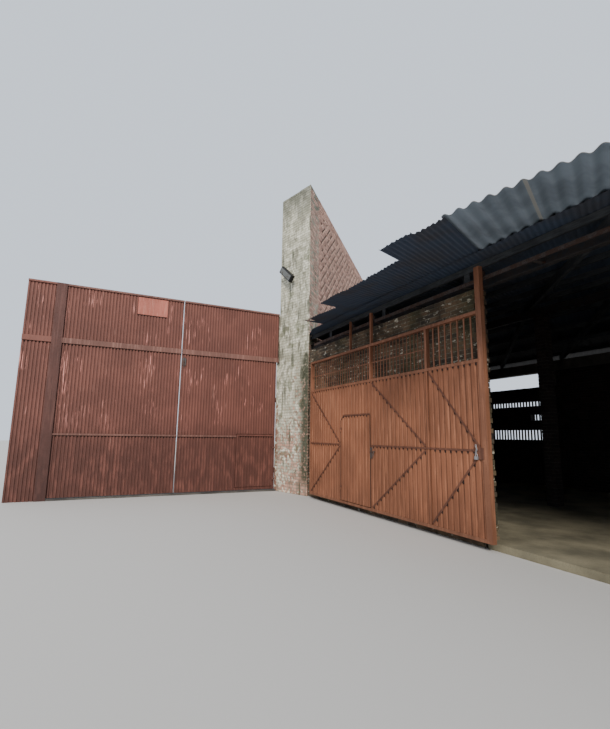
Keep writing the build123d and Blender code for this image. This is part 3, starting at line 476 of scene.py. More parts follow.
def wall_cells(length, cuts, bond=(0.25,), holes=(), step=0.5):
    """Every brick's left, right, foot, head and row along a wall, row by row.

    The bond's lengths repeat along a course, and each course starts a step of the repeat further on.
    Holes are (left, right, foot, head); joints near a hole give way to its edges.
    """
    cycle = sum(bond)
    cells = []
    for row, (foot, head) in enumerate(zip(cuts[:-1], cuts[1:])):
        repeats = int(length / cycle) + 2
        ends = (np.arange(-1, repeats)[:, None] * cycle + np.cumsum(bond)).ravel()
        ends = ends + cycle * (step * row % 1)
        ends = ends[(ends > 0.05) & (ends < length - 0.05)]
        here = [h for h in holes if h[2] < (foot + head) / 2 < h[3]]
        for left, right, *_ in here:
            ends = ends[(ends < left - 0.055) | (ends > right + 0.055)]
        ends = np.unique(np.concatenate([[0, length], ends, *[h[:2] for h in here]]))
        left, right = ends[:-1], ends[1:]
        middle = (left + right) / 2
        solid = np.ones(len(left), bool)
        for hole_left, hole_right, *_ in here:
            solid &= (middle < hole_left) | (middle > hole_right)
        level = np.broadcast_to((foot, head, row), (len(left), 3))
        cells.append(np.column_stack([left, right, level])[solid])
    return np.concatenate(cells)


def on_wall(start, run, along, depth):
    """X and y so far along a wall and so deep behind its face, which looks to the run's right."""
    return start[0] + run[0] * along - run[1] * depth, start[1] + run[1] * along + run[0] * depth


def upright(left, right, foot, head):
    """Places along and heights of the four corners of many upright rectangles."""
    return np.stack([left, right, right, left], -1), np.stack([foot, foot, head, head], -1)


def brick_tones(count, spread=0.28):
    """A random tone for each brick, mostly near a half."""
    return np.clip(chance.normal(0.5, spread, count), 0, 1)


def laid_bricks(start, end, cells, back=LET_IN, wear=0.003, bevel=0.004, joint=JOINT):
    """Brick blocks on a wall's face: each a base at a depth back, and a smaller, uneven front.

    Going from start to end, the face looks to the right. The front's corners lie one bevel in
    from the base, pushed about and inwards at random by the wear.
    """
    start, end = np.asarray(start, float), np.asarray(end, float)
    run = (end - start) / np.linalg.norm(end - start)
    gap, count = joint / 2, len(cells)
    u, z = upright(cells[:, 0] + gap, cells[:, 1] - gap, cells[:, 2] + gap, cells[:, 3] - gap)
    inwards, upwards = np.array([1, -1, -1, 1]), np.array([1, 1, -1, -1])
    push = chance.uniform(0, 1, (count, 4, 3)) * (1.6, 1.6, 1) * wear
    front_u = u + inwards * bevel + inwards * push[..., 0]
    front_z = z + upwards * bevel + upwards * push[..., 1]
    sunk = chance.uniform(0, wear * 1.5, (count, 1)) + push[..., 2]
    return blocks((*on_wall(start, run, u, back), z), (*on_wall(start, run, front_u, sunk), front_z),
                  brick_tones(count))


def clipped(cells, head_at):
    """Cells of a wall whose head varies along it, cut down to the head at their middle."""
    cells = cells.copy()
    cells[:, 3] = np.minimum(cells[:, 3], head_at((cells[:, 0] + cells[:, 1]) / 2))
    return cells[cells[:, 3] - cells[:, 2] > 0.025]


def inset_plan(plan, depth):
    """A four-cornered plan moved in by a depth on all sides: each edge line shifts along its normal."""
    plan = np.asarray(plan, float)
    edge = np.roll(plan, -1, 0) - plan
    edge /= np.linalg.norm(edge, axis=1)[:, None]
    inward = np.stack([-edge[:, 1], edge[:, 0]], -1)
    before, inward_before = np.roll(edge, 1, 0), np.roll(inward, 1, 0)
    cross = before[:, 0] * edge[:, 1] - before[:, 1] * edge[:, 0]
    shift = (inward - inward_before) * depth
    along = (shift[:, 0] * edge[:, 1] - shift[:, 1] * edge[:, 0]) / cross
    return plan + inward_before * depth + before * along[:, None]


def brick_wall(plan, foot, head, sides):
    """Parts of a wall on a four-cornered plan: a core set back, and bricks on the sides named."""
    plan, cuts = np.asarray(plan, float), course_cuts(foot, head)
    parts = [prism(inset_plan(plan, RECESS), foot, head)]
    for side in sides:
        start, end = plan[side], plan[(side + 1) % 4]
        parts.append(laid_bricks(start, end, wall_cells(np.linalg.norm(end - start), cuts)))
    return parts


TEETH = 0.05


def toothed_end(x, head, sign):
    """Courses that end a wall at a jamb, every other one shorter, each cut off unevenly.

    The sign is 1 for a wall at the left of its jamb, and -1 for one at the right.
    """
    cuts = course_cuts(0.0, head)
    count = len(cuts) - 1
    tip = x - sign * (np.where(np.arange(count) % 2, 0.0, 0.02) + chance.uniform(0, 0.022, count))
    root = np.full(count, x - sign * (TEETH + 0.02))
    uneven = chance.uniform(-0.012, 0.012, count)
    deep = chance.uniform(0, 0.006, (count, 2))
    if sign > 0:
        plan_x = np.stack([root, tip - np.abs(uneven), tip - np.abs(uneven) * 0.5, root], -1)
    else:
        plan_x = np.stack([tip + uneven, root, root, tip], -1)
    y0, y1 = WALL_FRONT + 0.001 + deep[:, 0], WALL_BACK - 0.001 - deep[:, 1]
    plan_y = np.stack([y0, y0, y1, y1], -1)
    return blocks((plan_x, plan_y, cuts[:-1, None] + 0.004), (plan_x, plan_y, cuts[1:, None] - 0.004),
                  brick_tones(count, 0.3))


def crosswise_row(start, along, across, length, width, foot, top, pitch=0.125):
    """A row of bricks on edge across the head of a wall, with uneven heights."""
    count = int(length / pitch)
    ends, gap = np.linspace(0, length, count + 1), 0.005
    u = np.stack([ends[:-1] + gap, ends[1:] - gap, ends[1:] - gap, ends[:-1] + gap], -1)
    v = np.array([0.0, 0.0, width, width]) + chance.uniform(-1, 1, (count, 4)) * 0.003
    v = np.clip(v, 0.001, width - 0.001)
    x, y = [start[k] + u * along[k] + v * across[k] for k in (0, 1)]
    high = top - chance.uniform(0, 0.012, (count, 1)) - chance.uniform(0, 0.004, (count, 4))
    return blocks((x, y, foot), (x, y, high), brick_tones(count))


# Front walls, toothed at the doorway
front_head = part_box("front_wall_left")[1][2]
plan = [(left_x(WALL_FRONT), WALL_FRONT), (DOOR_LEFT - TEETH, WALL_FRONT),
        (DOOR_LEFT - TEETH, WALL_BACK), (left_x(WALL_BACK), WALL_BACK)]
parts = brick_wall(plan, 0.0, front_head, (0, 2))
parts.append(toothed_end(DOOR_LEFT, front_head, 1))
new_piece("wall_left_of_door", "building", BRICK_OLD, parts, ["front_wall_left"])
plan = [(DOOR_RIGHT + TEETH, WALL_FRONT), (RIGHT_X, WALL_FRONT),
        (right_x(WALL_BACK), WALL_BACK), (DOOR_RIGHT + TEETH, WALL_BACK)]
parts = brick_wall(plan, 0.0, front_head, (0, 1, 2))
parts.append(toothed_end(DOOR_RIGHT, front_head, -1))
new_piece("wall_right_of_door", "building", BRICK_OLD, parts, ["front_wall_right"])

# Side wall: bricks on both faces under a head that follows the two slopes
wall_inward, set_in = (WALL_BACK - WALL_FRONT) * SLANT, RECESS * SLANT
parts = []
for y0, y1 in ((WALL_BACK, RIDGE_Y), (RIDGE_Y, REAR_INNER)):
    core = np.array([(right_x(y0) - wall_inward + set_in, y0), (right_x(y0) - set_in, y0),
                     (right_x(y1) - set_in, y1), (right_x(y1) - wall_inward + set_in, y1)])
    parts.append(prism(core, 0.0, under_sheet(core[:, 1]) - PURLIN_H))
cuts = course_cuts(0.0, float(under_sheet(RIDGE_Y)) - PURLIN_H)
cells = wall_cells((REAR_INNER - WALL_BACK) * SLANT, cuts)
outer = np.array([(right_x(y), y) for y in (WALL_BACK, REAR_INNER)])
for ends, first_y, way in ((outer, WALL_BACK, 1), (outer[::-1] - (wall_inward, 0), REAR_INNER, -1)):
    under_roof = clipped(cells, lambda u: under_sheet(first_y + way * u / SLANT) - PURLIN_H)
    parts.append(laid_bricks(*ends, under_roof))
new_piece("wall_on_the_right", "building", BRICK_OUTSIDE, parts, ["side_wall"])

# Rear wall: rows of slits between bricks on end in two bays, and the right bay built up to the beam
VENT_ROWS = ((1.68, 0.32, 20), (2.255, 0.19, 5), (2.71, 0.165, 20))
VENT_W, VENT_T, VENT_PITCH, VENT_IN = 0.075, 0.05, 0.115, 0.14
PILLAR_IN, PILLAR_W, PILLAR_STEP, REAR_HEAD = 4.09, 0.36, 4.45, 3.25
rear_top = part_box("rear_wall")[1][2]
pillar_x = right_x(REAR_OUTER) - PILLAR_IN
raised_x = pillar_x + PILLAR_W / 2
inner_y, outer_y = REAR_INNER + RECESS, REAR_OUTER - RECESS
right_inner, right_outer = right_x(inner_y) - set_in, right_x(outer_y) - set_in
bands = [(z - high / 2, z + high / 2) for z, high, _ in VENT_ROWS]
holes = np.array([
    (x - VENT_W / 2, x + VENT_W / 2, z - high / 2, z + high / 2)
    for z, high, count in VENT_ROWS for bay in range(2)
    for x in pillar_x - bay * PILLAR_STEP - PILLAR_W / 2 - VENT_IN - np.arange(count)[::-1] * VENT_PITCH])
parts = [prism([(raised_x, inner_y), (right_inner, inner_y), (right_outer, outer_y), (raised_x, outer_y)],
               REAR_HEAD, rear_top)]
levels = [0.0, *[z for band in bands for z in band], REAR_HEAD - 0.01]
pockets = []
for foot, head in zip(levels[:-1], levels[1:]):
    here = holes[np.isclose(holes[:, 2], foot)]
    here = here[np.argsort(here[:, 0])]
    walls = np.concatenate([[0.0], here[:, :2].ravel(), [0.0]]).reshape(-1, 2)
    for number, (left, right) in enumerate(walls):
        at_left, at_right = number == 0, number == len(walls) - 1
        left_ends = (left_x(inner_y), left_x(outer_y)) if at_left else (left, left)
        right_ends = (right_inner, right_outer) if at_right else (right, right)
        thin = not at_left and not at_right and right - left < 0.1
        back_y = REAR_INNER + VENT_T if thin else outer_y
        parts.append(prism([(left_ends[0], inner_y), (right_ends[0], inner_y),
                            (right_ends[1], back_y), (left_ends[1], back_y)], foot, head))
    for row in np.split(here, 2) if len(here) else ():
        pockets.append((row[0, 0] - 0.02, row[-1, 1] + 0.02, foot, head))
rear_cuts = course_cuts(0.0, REAR_HEAD - COURSE, bands)
raised_cuts = np.concatenate([rear_cuts, course_cuts(REAR_HEAD, rear_top)])
faces = []
for y, facing, open_here in ((REAR_INNER, 1, holes), (REAR_OUTER, -1, np.array(pockets))):
    ends = np.array([(left_x(y), y), (right_x(y), y)])[::facing]
    along = np.sort(np.abs(open_here[:, :2] - ends[0, 0]), axis=1)
    cells = wall_cells(right_x(y) - left_x(y), raised_cuts,
                       holes=[(*a, *h) for a, h in zip(along, open_here[:, 2:])])
    middle = ends[0, 0] + facing * (cells[:, 0] + cells[:, 1]) / 2
    cells = cells[(cells[:, 2] < REAR_HEAD - COURSE - 0.01) | (middle > raised_x)]
    faces.append(laid_bricks(*ends, cells))
parts.append(faces[0])
parts.append(crosswise_row((left_x(REAR_OUTER), REAR_INNER), (1, 0), (0, 1),
                           raised_x - left_x(REAR_OUTER), REAR_OUTER - REAR_INNER,
                           REAR_HEAD - COURSE, REAR_HEAD))
new_piece("wall_at_the_rear", "building", BRICK_SOOT_AND_SHADE, parts, ["rear_wall"])
faces.append(laid_bricks((right_x(REAR_INNER), REAR_INNER), (right_x(REAR_OUTER), REAR_OUTER),
                         wall_cells((REAR_OUTER - REAR_INNER) * SLANT, raised_cuts)))
new_piece("wall_at_the_rear_outside", "building", BRICK_OUTSIDE, faces[1:])

# Columns under the ridge beam
COLUMN_HALF, COLUMN_FIRST, COLUMN_STEP = 0.125, 3.952, 4.3
column_low, column_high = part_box("columns")
parts = []
for x in left_x(RIDGE_Y) + COLUMN_FIRST + np.arange(3) * COLUMN_STEP:
    plan = oblong(x - COLUMN_HALF, RIDGE_Y - COLUMN_HALF, x + COLUMN_HALF, RIDGE_Y + COLUMN_HALF)
    parts += brick_wall(plan, column_low[2], column_high[2], range(4))
new_piece("brick_columns", "building", BRICK_SOOT_AND_SHADE, parts, ["columns"])

# Party wall: long headers-and-stretchers face with headers left out in its upper part
PARTY_TOP, PIER_FACE, PIER_DEPTH = 8.8, 1.325, 0.9
PARTY_BOND, POCKET = (0.24, 0.12), 0.065
WALL_DIR = np.array([-math.sin(PLOT_SKEW), math.cos(PLOT_SKEW)])
PIER_DIR = np.array([math.cos(PIER_TURN), math.sin(PIER_TURN)])
PARTY_END = (REAR_EAVE - ARRIS[1]) * SLANT
PARTY_REACH = 0.38 / math.cos(PLOT_SKEW - PIER_TURN)


def beside_arris(left, back):
    """A plan point so far left of the arris along the pier's face and back along the wall."""
    return ARRIS - left * PIER_DIR + back * WALL_DIR


head_row = PARTY_TOP - COURSE
cuts = course_cuts(0.0, head_row)
length = PARTY_END - PIER_DEPTH
cells = wall_cells(length, cuts, PARTY_BOND, step=0.25)
width, middle = cells[:, 1] - cells[:, 0], (cells[:, 0] + cells[:, 1]) / 2
missing = ((width < 0.13) & (width > 0.1) & (cells[:, 2] > 4.95 + 0.5 * np.sin(middle * 0.9))
           & (cells[:, 2] < 8.35) & (chance.uniform(0, 1, len(cells)) < 0.8) & (middle > 0.25))
face_start, face_end = beside_arris(0, PIER_DEPTH), beside_arris(0, PARTY_END)
far_start, far_end = beside_arris(PARTY_REACH, PIER_DEPTH), beside_arris(PARTY_REACH, PARTY_END)
core = np.array([face_start, face_end, far_end, far_start])
out = np.array([WALL_DIR[1], -WALL_DIR[0]])
core[:2] -= out * POCKET
core[2:] += out * RECESS
# The core's tone of -2 paints shade at the back of the pockets where headers are left out
parts = [prism(core, 0.0, head_row, tone=-2.0)]
backing = []
for row in np.unique(cells[:, 4]):
    here, gone = cells[cells[:, 4] == row], missing[cells[:, 4] == row]
    edge = np.concatenate([[0.0], (here[gone, :2] + (JOINT / 2, -JOINT / 2)).ravel(), [length]])
    level = np.broadcast_to(here[0, 2:4], (len(edge) // 2, 2))
    backing.append(np.column_stack([edge[0::2], edge[1::2], level]))
u, z = upright(*np.concatenate(backing).T)
parts.append(blocks((*on_wall(face_start, WALL_DIR, u, POCKET + 0.002), z),
                    (*on_wall(face_start, WALL_DIR, u, RECESS), z), -1.0))
parts.append(laid_bricks(face_start, face_end, cells[~missing]))
parts.append(laid_bricks(far_end, far_start, wall_cells(length, cuts, PARTY_BOND)))
end_cells = wall_cells(PARTY_REACH, cuts, (0.22,))
parts.append(laid_bricks(face_end, far_end, end_cells, RECESS + 0.02, 0.002))
parts.append(crosswise_row(face_start, WALL_DIR, -PIER_DIR, length, PARTY_REACH, head_row, PARTY_TOP))
new_piece("party_wall_bricks", "building", BRICK_PARTY, parts, ["party_wall"])

# End pier under worn limewash; its right side belongs to the bare face of the party wall
pier_plan = np.array([beside_arris(0, 0), beside_arris(0, PIER_DEPTH),
                      beside_arris(PIER_FACE, PIER_DEPTH), beside_arris(PIER_FACE, 0)])
parts = [prism(inset_plan(pier_plan, 0.005), 0.0, head_row)]
for side in (1, 2, 3):
    start, end = pier_plan[side], pier_plan[(side + 1) % 4]
    cells = wall_cells(np.linalg.norm(end - start), cuts, PARTY_BOND)
    parts.append(laid_bricks(start, end, cells, 0.008, 0.002, bevel=0.005, joint=0.006))
parts.append(crosswise_row(pier_plan[3], PIER_DIR, WALL_DIR, PIER_FACE, PIER_DEPTH, head_row,
                           PARTY_TOP, 0.11))
new_piece("end_pier_limewashed", "building", LIMEWASH, parts, ["end_pier"])
new_piece("end_pier_bare_side", "building", BRICK_PARTY, [
    laid_bricks(pier_plan[0], pier_plan[1], wall_cells(PIER_DEPTH, cuts, PARTY_BOND), RECESS)])

# Roof sheets: pitch, depth and thickness of the iron, width of a sheet, sheets up a slope
IRON_PITCH, IRON_DEPTH, IRON_T, SHEET_W = 0.076, 0.013, 0.001, 0.76
SHEET_COURSES, WAVE_SAMPLES = 3, 6
ACROSS_X = 1 / math.hypot(1, LEAN)


def waves(s, pitch, depth):
    """Heights of a wavy sheet: a cosine, with s along X and the pitch square to the waves."""
    return depth / 2 * np.cos(2 * math.pi * s * ACROSS_X / pitch)


def roof_run(x0, y0, s, low_y, high_y, rows, lift, wave, thick, bow=None):
    """Sheet on a slope: lines run back to the left at the sheets' lean, with s across them.

    Height is the slope's underside plus the lift plus the wave, and the lower face lies one
    thickness down. Each line runs from its own low_y to its own high_y.
    """
    y = low_y[None] + (high_y - low_y)[None] * np.linspace(0, 1, rows)[:, None]
    x = x0 + s[None] - LEAN * (y - y0)
    z = under_sheet(y) + lift + wave[None]
    if bow is not None:
        z = z + bow(s[None], y)
    top = np.stack([x, y, z], -1)
    return top, top - (0, 0, thick)


def slope_sheets(x0, y0, s0, s1, low, high, ragged=0.0):
    """Courses of wavy sheets between two limits, each sheet a little higher at its lower end."""
    parts = []
    pitch_x = IRON_PITCH / ACROSS_X
    step = pitch_x / WAVE_SAMPLES
    for number, left in enumerate(np.arange(s0, s1 + SHEET_W, SHEET_W)[:-1]):
        s = np.arange(left, min(left + SHEET_W + pitch_x, s1) + step / 2, step)
        s = s[s <= s1 + 1e-6]
        if len(s) < 4:
            continue
        low_y, high_y, wave = low(s), high(s), waves(s, IRON_PITCH, IRON_DEPTH)
        for k in range(SHEET_COURSES):
            a = low_y + (high_y - low_y) * k / SHEET_COURSES
            b = low_y + (high_y - low_y) * min(1, (k + 1.04) / SHEET_COURSES)
            if k == 0:
                uneven = chance.uniform(0, 1) + 0.35 * chance.uniform(0, 1, len(s)) ** 3
                a = a + ragged * uneven * (s >= 0)
            good = (b - a) > 0.02
            if good.sum() < 4:
                continue
            lift = SHEET_T / 2 + 0.0005 + (0.0016 * (number % 2) + 0.0012 * (k % 2))
            top, under = roof_run(x0, y0, s[good], a[good], b[good], 3, lift, wave[good], IRON_T)
            parts.append(shell(top, under, 0.75 + 0.2 * chance.uniform(), 0.1 + 0.1 * chance.uniform()))
    return parts


front_corner_x = ARRIS[0] + 0.86


def front_start(s):
    """Where a line of the front slope starts: at the eave, or on the party wall further up."""
    corner = (front_corner_x - ARRIS[0] - 0.002) / (ARRIS[1] - MAIN_EAVE)
    slanting = MAIN_EAVE - s / (corner - LEAN)
    wall = ARRIS[1] + (front_corner_x + s - LEAN * (ARRIS[1] - MAIN_EAVE) - ARRIS[0]) / (LEAN - SKEW)
    return np.where(s >= 0, MAIN_EAVE, np.where(slanting < ARRIS[1], slanting, wall + 0.003))


def front_end(s):
    """Where a line of the front slope ends: at the ridge, or at the verge over the side wall."""
    past = front_corner_x + s + LEAN * (MAIN_EAVE - WALL_FRONT) - RIGHT_X - VERGE
    return np.minimum(RIDGE_Y - 0.001, WALL_FRONT + past / (LEAN - SKEW))


parts = slope_sheets(front_corner_x, MAIN_EAVE, -(SKEW - LEAN) * (RIDGE_Y - ARRIS[1]) - 0.6,
                     right_x(MAIN_EAVE) + VERGE - front_corner_x, front_start, front_end, ragged=0.03)
new_piece("roof_sheets_front", "building", ROOF_IRON, parts, ["roof_front"], 40)

ridge_left, ridge_right = left_x(RIDGE_Y), right_x(RIDGE_Y) + VERGE


def rear_start(s):
    """Where a line of the rear slope starts: at the ridge, or on the party wall further back."""
    return RIDGE_Y + np.maximum(0.001, 0.003 - s / (SKEW - LEAN))


def rear_end(s):
    """Where a line of the rear slope ends: at the rear eave, or at the verge over the side wall."""
    return np.minimum(REAR_EAVE, RIDGE_Y + (ridge_right - ridge_left - s) / (SKEW - LEAN))


parts = slope_sheets(ridge_left, RIDGE_Y, -(SKEW - LEAN) * (REAR_EAVE - RIDGE_Y),
                     ridge_right - ridge_left, rear_start, rear_end)
new_piece("roof_sheets_rear", "building", ROOF_IRON, parts, ["roof_rear"], 40)

# Ridge cap: a strip bent over the ridge, a little rounded, in lengths that lap by a few millimetres
y = RIDGE_Y + np.linspace(-0.15, 0.15, 9)
rounded = 0.004 * np.exp(-((y - RIDGE_Y) / 0.03) ** 2)
edges = np.linspace(0, 1, 9)
parts = []
for number, (a, b) in enumerate(zip(edges[:-1], edges[1:])):
    along = np.linspace(a, min(1, b + 0.003), 3)
    x = left_x(y) + 0.002 + (right_x(y) + VERGE - left_x(y) - 0.002)[None] * along[:, None]
    z = under_sheet(y) + SHEET_T + 0.0045 + 0.001 * (number % 2) - rounded
    top = np.stack(np.broadcast_arrays(x, y, z), -1)
    parts.append(shell(top, top - (0, 0, 0.0012), 0.8, 0.2))
new_piece("ridge_strip", "building", ROOF_IRON, parts, ["ridge_cap"], 40)

# Iron sheets that lengthen the eave: toothed, bent ends and a torn left corner
IRON_EAVES = (((-6.91, -1.155), (-5.58, -1.015)), ((-5.4, -1.545), (-3.01, -1.495)),
              ((-2.7, -2.065), (-1.64, -1.94)))
EAVE_BACK = 0.26


def front_edge(s, y0, slope):
    """Y of a sloping front edge on the line s: line and edge have the same place along X there."""
    return y0 + s * slope / (1 + LEAN * slope)


parts = []
for number, ((xa, ya), (xb, yb)) in enumerate(IRON_EAVES):

    def droop(s, y):
        """The free end sags by a few millimetres towards its tip."""
        free = np.clip((-0.5 - y) / max(0.2, -0.5 - ya), 0, 1)
        return -0.012 * free ** 2 * (1 + np.sin(7 * s + number)) / 2

    width = (xb - xa) + LEAN * (yb - ya)
    sheets = max(1, round(width / 0.75))
    for k in range(sheets):
        left = width * k / sheets
        right = min(width, width * (k + 1) / sheets + 0.05)
        s = np.linspace(left, right, int((right - left) * ACROSS_X / IRON_PITCH * 8) + 1)
        slip = 0.02 + 0.05 * chance.uniform()
        nibble = 0.03 * np.abs(np.sin(s * 23 + k)) * chance.uniform(0, 1, len(s)) ** 2
        torn = 0.30 * np.clip(1 - np.abs(s - 0.17) / 0.09, 0, 1) * (number == k == 0)
        low_y = front_edge(s, ya, (yb - ya) / (xb - xa)) + slip * (k % 2) + nibble + torn
        top, under = roof_run(xa, ya, s, low_y, np.full_like(s, EAVE_BACK), 7,
                              SHEET_T * 1.5 + 0.0012 * (k % 2), waves(s, IRON_PITCH, 0.015), IRON_T, droop)
        parts.append(shell(top, under, 0.7, 0.05 + 0.06 * chance.uniform()))
# Two torn scraps hang curled from the tip of the lowest sheet
(xa, ya), tip_z = IRON_EAVES[0][0], float(under_sheet(-1.155)) + 0.02
for shift, reach, bend in ((0.10, 0.16, 0.5), (0.24, 0.11, -0.7)):
    t, across = np.linspace(0, 1, 6)[:, None], np.linspace(0, 1, 5)[None]
    x = xa + shift + 0.07 * across * (1 - 0.6 * t) - 0.10 * t
    y = ya + 0.03 + 0.02 * across - reach * 0.35 * t * (1 - 0.5 * t)
    z = tip_z - 0.03 * t + 0.035 * np.sin(t * 3 * bend) * across
    top = np.stack(np.broadcast_arrays(x, y, z), -1)
    parts.append(shell(top, top - (0, 0, IRON_T), 0.75, 0.45))
new_piece("eave_sheets_of_iron", "building", ROOF_IRON, parts, ["eave_sheets_iron"], 40)

# Wavy cement sheets at the right, in four groups with slanting ends
CEMENT_X, CEMENT_Y, CEMENT_STEP = -1.665, -1.89, 0.535
GROUP_W, GROUP_GAP, CEMENT_WAVE, CEMENT_DEPTH, CEMENT_T = 1.95, 0.03, 0.17, 0.048, 0.0065
parts = []
for group, lap_at in enumerate((0.45, 0.52, 0.48, 0.5)):
    width = GROUP_W - GROUP_GAP + LEAN * CEMENT_STEP
    lap = width * lap_at
    # Two sheets, and the pale strip where they lap
    for k, (left, right, lift, under_tone) in enumerate((
            (0.0 if group else -0.042, lap + 0.05, 0.0002, None), (lap - 0.05, width, 0.0012, None),
            (lap - 0.022, lap + 0.028, -0.0004, 0.4))):
        s = np.linspace(left, right, int((right - left) * ACROSS_X / CEMENT_WAVE * 14) + 1)
        chip = 0.02 * np.clip(np.sin(s * 31 + group * 2 + k), 0.4, 1) * chance.uniform(0.3, 1)
        low_y = front_edge(s, CEMENT_Y, CEMENT_STEP / (GROUP_W - GROUP_GAP)) + chip
        top, under = roof_run(CEMENT_X + group * GROUP_W, CEMENT_Y, s, low_y, np.full_like(s, EAVE_BACK), 4,
                              SHEET_T + 0.0005 + CEMENT_DEPTH / 2 + lift,
                              waves(group * GROUP_W + s, CEMENT_WAVE, CEMENT_DEPTH - CEMENT_T), CEMENT_T)
        parts.append(shell(top, under, 0.8, under_tone or 0.1 * chance.uniform()))
new_piece("eave_sheets_of_cement", "building", CEMENT, parts, ["eave_sheets_cement"], 60)

# Ribbed leaves


class Ribs:
    """A ribbed sheet's profile: flat crests, slanting flanks and flat troughs of one depth."""

    def __init__(self, pitch, crest, flank, depth):
        self.pitch, self.crest, self.flank, self.depth = pitch, crest, flank, depth

    def deep(self, u):
        """Depth behind the crests at each place."""
        from_crest = np.abs((u / self.pitch) % 1 - 0.5) * self.pitch * 2
        return self.depth * np.clip((from_crest - self.crest) / (2 * self.flank), 0, 1)

    def bends(self, start, end):
        """Where the sheet bends: both ends of each flank, between start and end."""
        half = self.crest / 2
        marks = np.array([-half - self.flank, -half, half, half + self.flank])
        k = np.arange(math.floor(start / self.pitch) - 1, math.ceil(end / self.pitch) + 1)
        u = ((k[:, None] + 0.5) * self.pitch + marks).ravel()
        return np.concatenate([[start], u[(u > start + 1e-4) & (u < end - 1e-4)], [end]])

    def troughs(self, start, end):
        """Middles of the troughs between start and end."""
        return np.arange(math.ceil(start / self.pitch), math.floor(end / self.pitch) + 1) * self.pitch


def rib_tones(deep, rows):
    """Tones of a ribbed sheet's faces: from a half on crests and flats to one in the troughs, which the iron
    paint darkens as painted shade.
    """
    share = (deep[:-1] + deep[1:]) / 2 / max(deep.max(), 1e-6)
    return np.tile(0.5 + 0.5 * share, rows - 1)


def shade_blocks(at, under, widths, heights, slope=0.0, tuck=0.0):
    """Dark blocks of painted shade in troughs under an edge, narrower at its foot: its places across and its
    heights.
    """
    wide, tall = chance.uniform(*widths, len(at)), chance.uniform(*heights, len(at))
    across = np.stack([at - wide * 0.7, at + wide * 0.7, at + wide, at - wide], -1)
    return across, np.stack([under - tall, under - tall, under + tuck + wide * slope,
                             under + tuck - wide * slope], -1)


LEAF_RIBS = Ribs(0.115, 0.066, 0.011, 0.0175)
SHEET_FACE, IRON_SKIN = -0.3049, 0.0012
leaf_low, leaf_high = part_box("door_sheets")


def leaf_sheet(x0, x1, foot, head, flats=()):
    """Ribbed iron seen from the yard: the ribs stand upright along X, with some strips left flat.

    Foot and head are heights, or functions of X.
    """
    x = LEAF_RIBS.bends(x0, x1)
    for a, b in flats:
        x = np.unique(np.concatenate([x[(x < a) | (x > b)], [a, a + 0.002, b - 0.002, b]]))
        x = x[(x >= x0) & (x <= x1)]
    deep = LEAF_RIBS.deep(x)
    for a, b in flats:
        deep = np.where((x > a + 0.001) & (x < b - 0.001), 0, deep)
    foot, head = (np.broadcast_to(edge(x) if callable(edge) else edge, x.shape) for edge in (foot, head))
    z = foot[None] + (head - foot)[None] * np.linspace(0, 1, 3)[:, None]
    ripple = 0.0012 * np.sin(x * 5.1)[None] * np.sin(z * 2.3)
    y = SHEET_FACE + IRON_SKIN + deep[None] + ripple
    grid = np.stack([np.broadcast_to(x, z.shape), y, z], -1)
    return shell(grid, grid + (0, IRON_SKIN, 0), rib_tones(deep, 3))


def cut_corner(left, top, cut):
    """Height along X of a level edge with its left corner cut off at 45 degrees."""
    return lambda x: np.minimum(top, top - cut + (x - left))


WICKET_L, WICKET_R, WICKET_SILL, WICKET_TOP, WICKET_CUT = -6.66, -5.525, 0.17, 1.99, 0.1
POST_2, MID_Z, PANEL_TOP = -3.83, 1.373, 2.706
foot, head = leaf_low[2], leaf_high[2]
parts = [
    leaf_sheet(leaf_low[0], WICKET_L, foot, head),
    leaf_sheet(WICKET_L, WICKET_R, cut_corner(WICKET_L, WICKET_TOP, WICKET_CUT), head),
    leaf_sheet(WICKET_R, leaf_high[0], foot, head, flats=[(POST_2 - 0.026, POST_2 + 0.026)]),
    box_part((WICKET_L, SHEET_FACE + 0.002, foot), (WICKET_R, SHEET_FACE + 0.018, WICKET_SILL)),
]
new_piece("leaf_ribbed_sheets", "sliding_leaf", LEAF_PAINT, parts, ["door_sheets"])
door_x0, door_x1, door_z0, door_z1 = WICKET_L + 0.01, WICKET_R - 0.01, 0.18, 1.98
door_head = cut_corner(door_x0, door_z1, WICKET_CUT - (2 - math.sqrt(2)) * 0.01)
new_piece("leaf_wicket_ribbed_sheet", "leaf_wicket", LEAF_PAINT,
          [leaf_sheet(door_x0, door_x1, door_z0, door_head)], ["wicket_sheet"])

# Painted shade: dark blocks in the troughs just under each flat bar and under the panel's top rail, standing
# for their scalloped shadows
leaf_x0, leaf_x1 = leaf_low[0], leaf_high[0]
flat_bars = []
for left, right in ((leaf_x0, WICKET_L), (WICKET_R + 0.05, POST_2 - 0.025), (POST_2 + 0.025, leaf_x1)):
    flat_bars += [((left + 0.032, PANEL_TOP - 0.082), (right - 0.032, MID_Z + 0.032)),
                  ((left + 0.032, 0.202), (right - 0.032, MID_Z - 0.032))]
flat_bars += [((leaf_x0, MID_Z), (WICKET_L - 0.04, MID_Z)), ((WICKET_R + 0.05, MID_Z), (leaf_x1, MID_Z)),
              ((WICKET_L + 0.1, WICKET_TOP + 0.016), (WICKET_R, WICKET_TOP + 0.016)),
              ((leaf_x0, PANEL_TOP - 0.034), (leaf_x1, PANEL_TOP - 0.034))]
parts = []
for (xa, za), (xb, zb) in flat_bars:
    x = LEAF_RIBS.troughs(xa, xb)
    x = x[np.abs(x - POST_2) > 0.05]
    slope = (zb - za) / (xb - xa)
    across, level = shade_blocks(x, za + (x - xa) * slope - 0.016 * math.hypot(1, slope),
                          (0.021, 0.027), (0.022, 0.042), slope, 0.012)
    parts.append(blocks((across, SHEET_FACE + 0.0185, level), (across, SHEET_FACE + 0.005, level), 0.2))
new_piece("leaf_painted_shade_under_flats", "sliding_leaf", PAINTED_SHADE, parts)

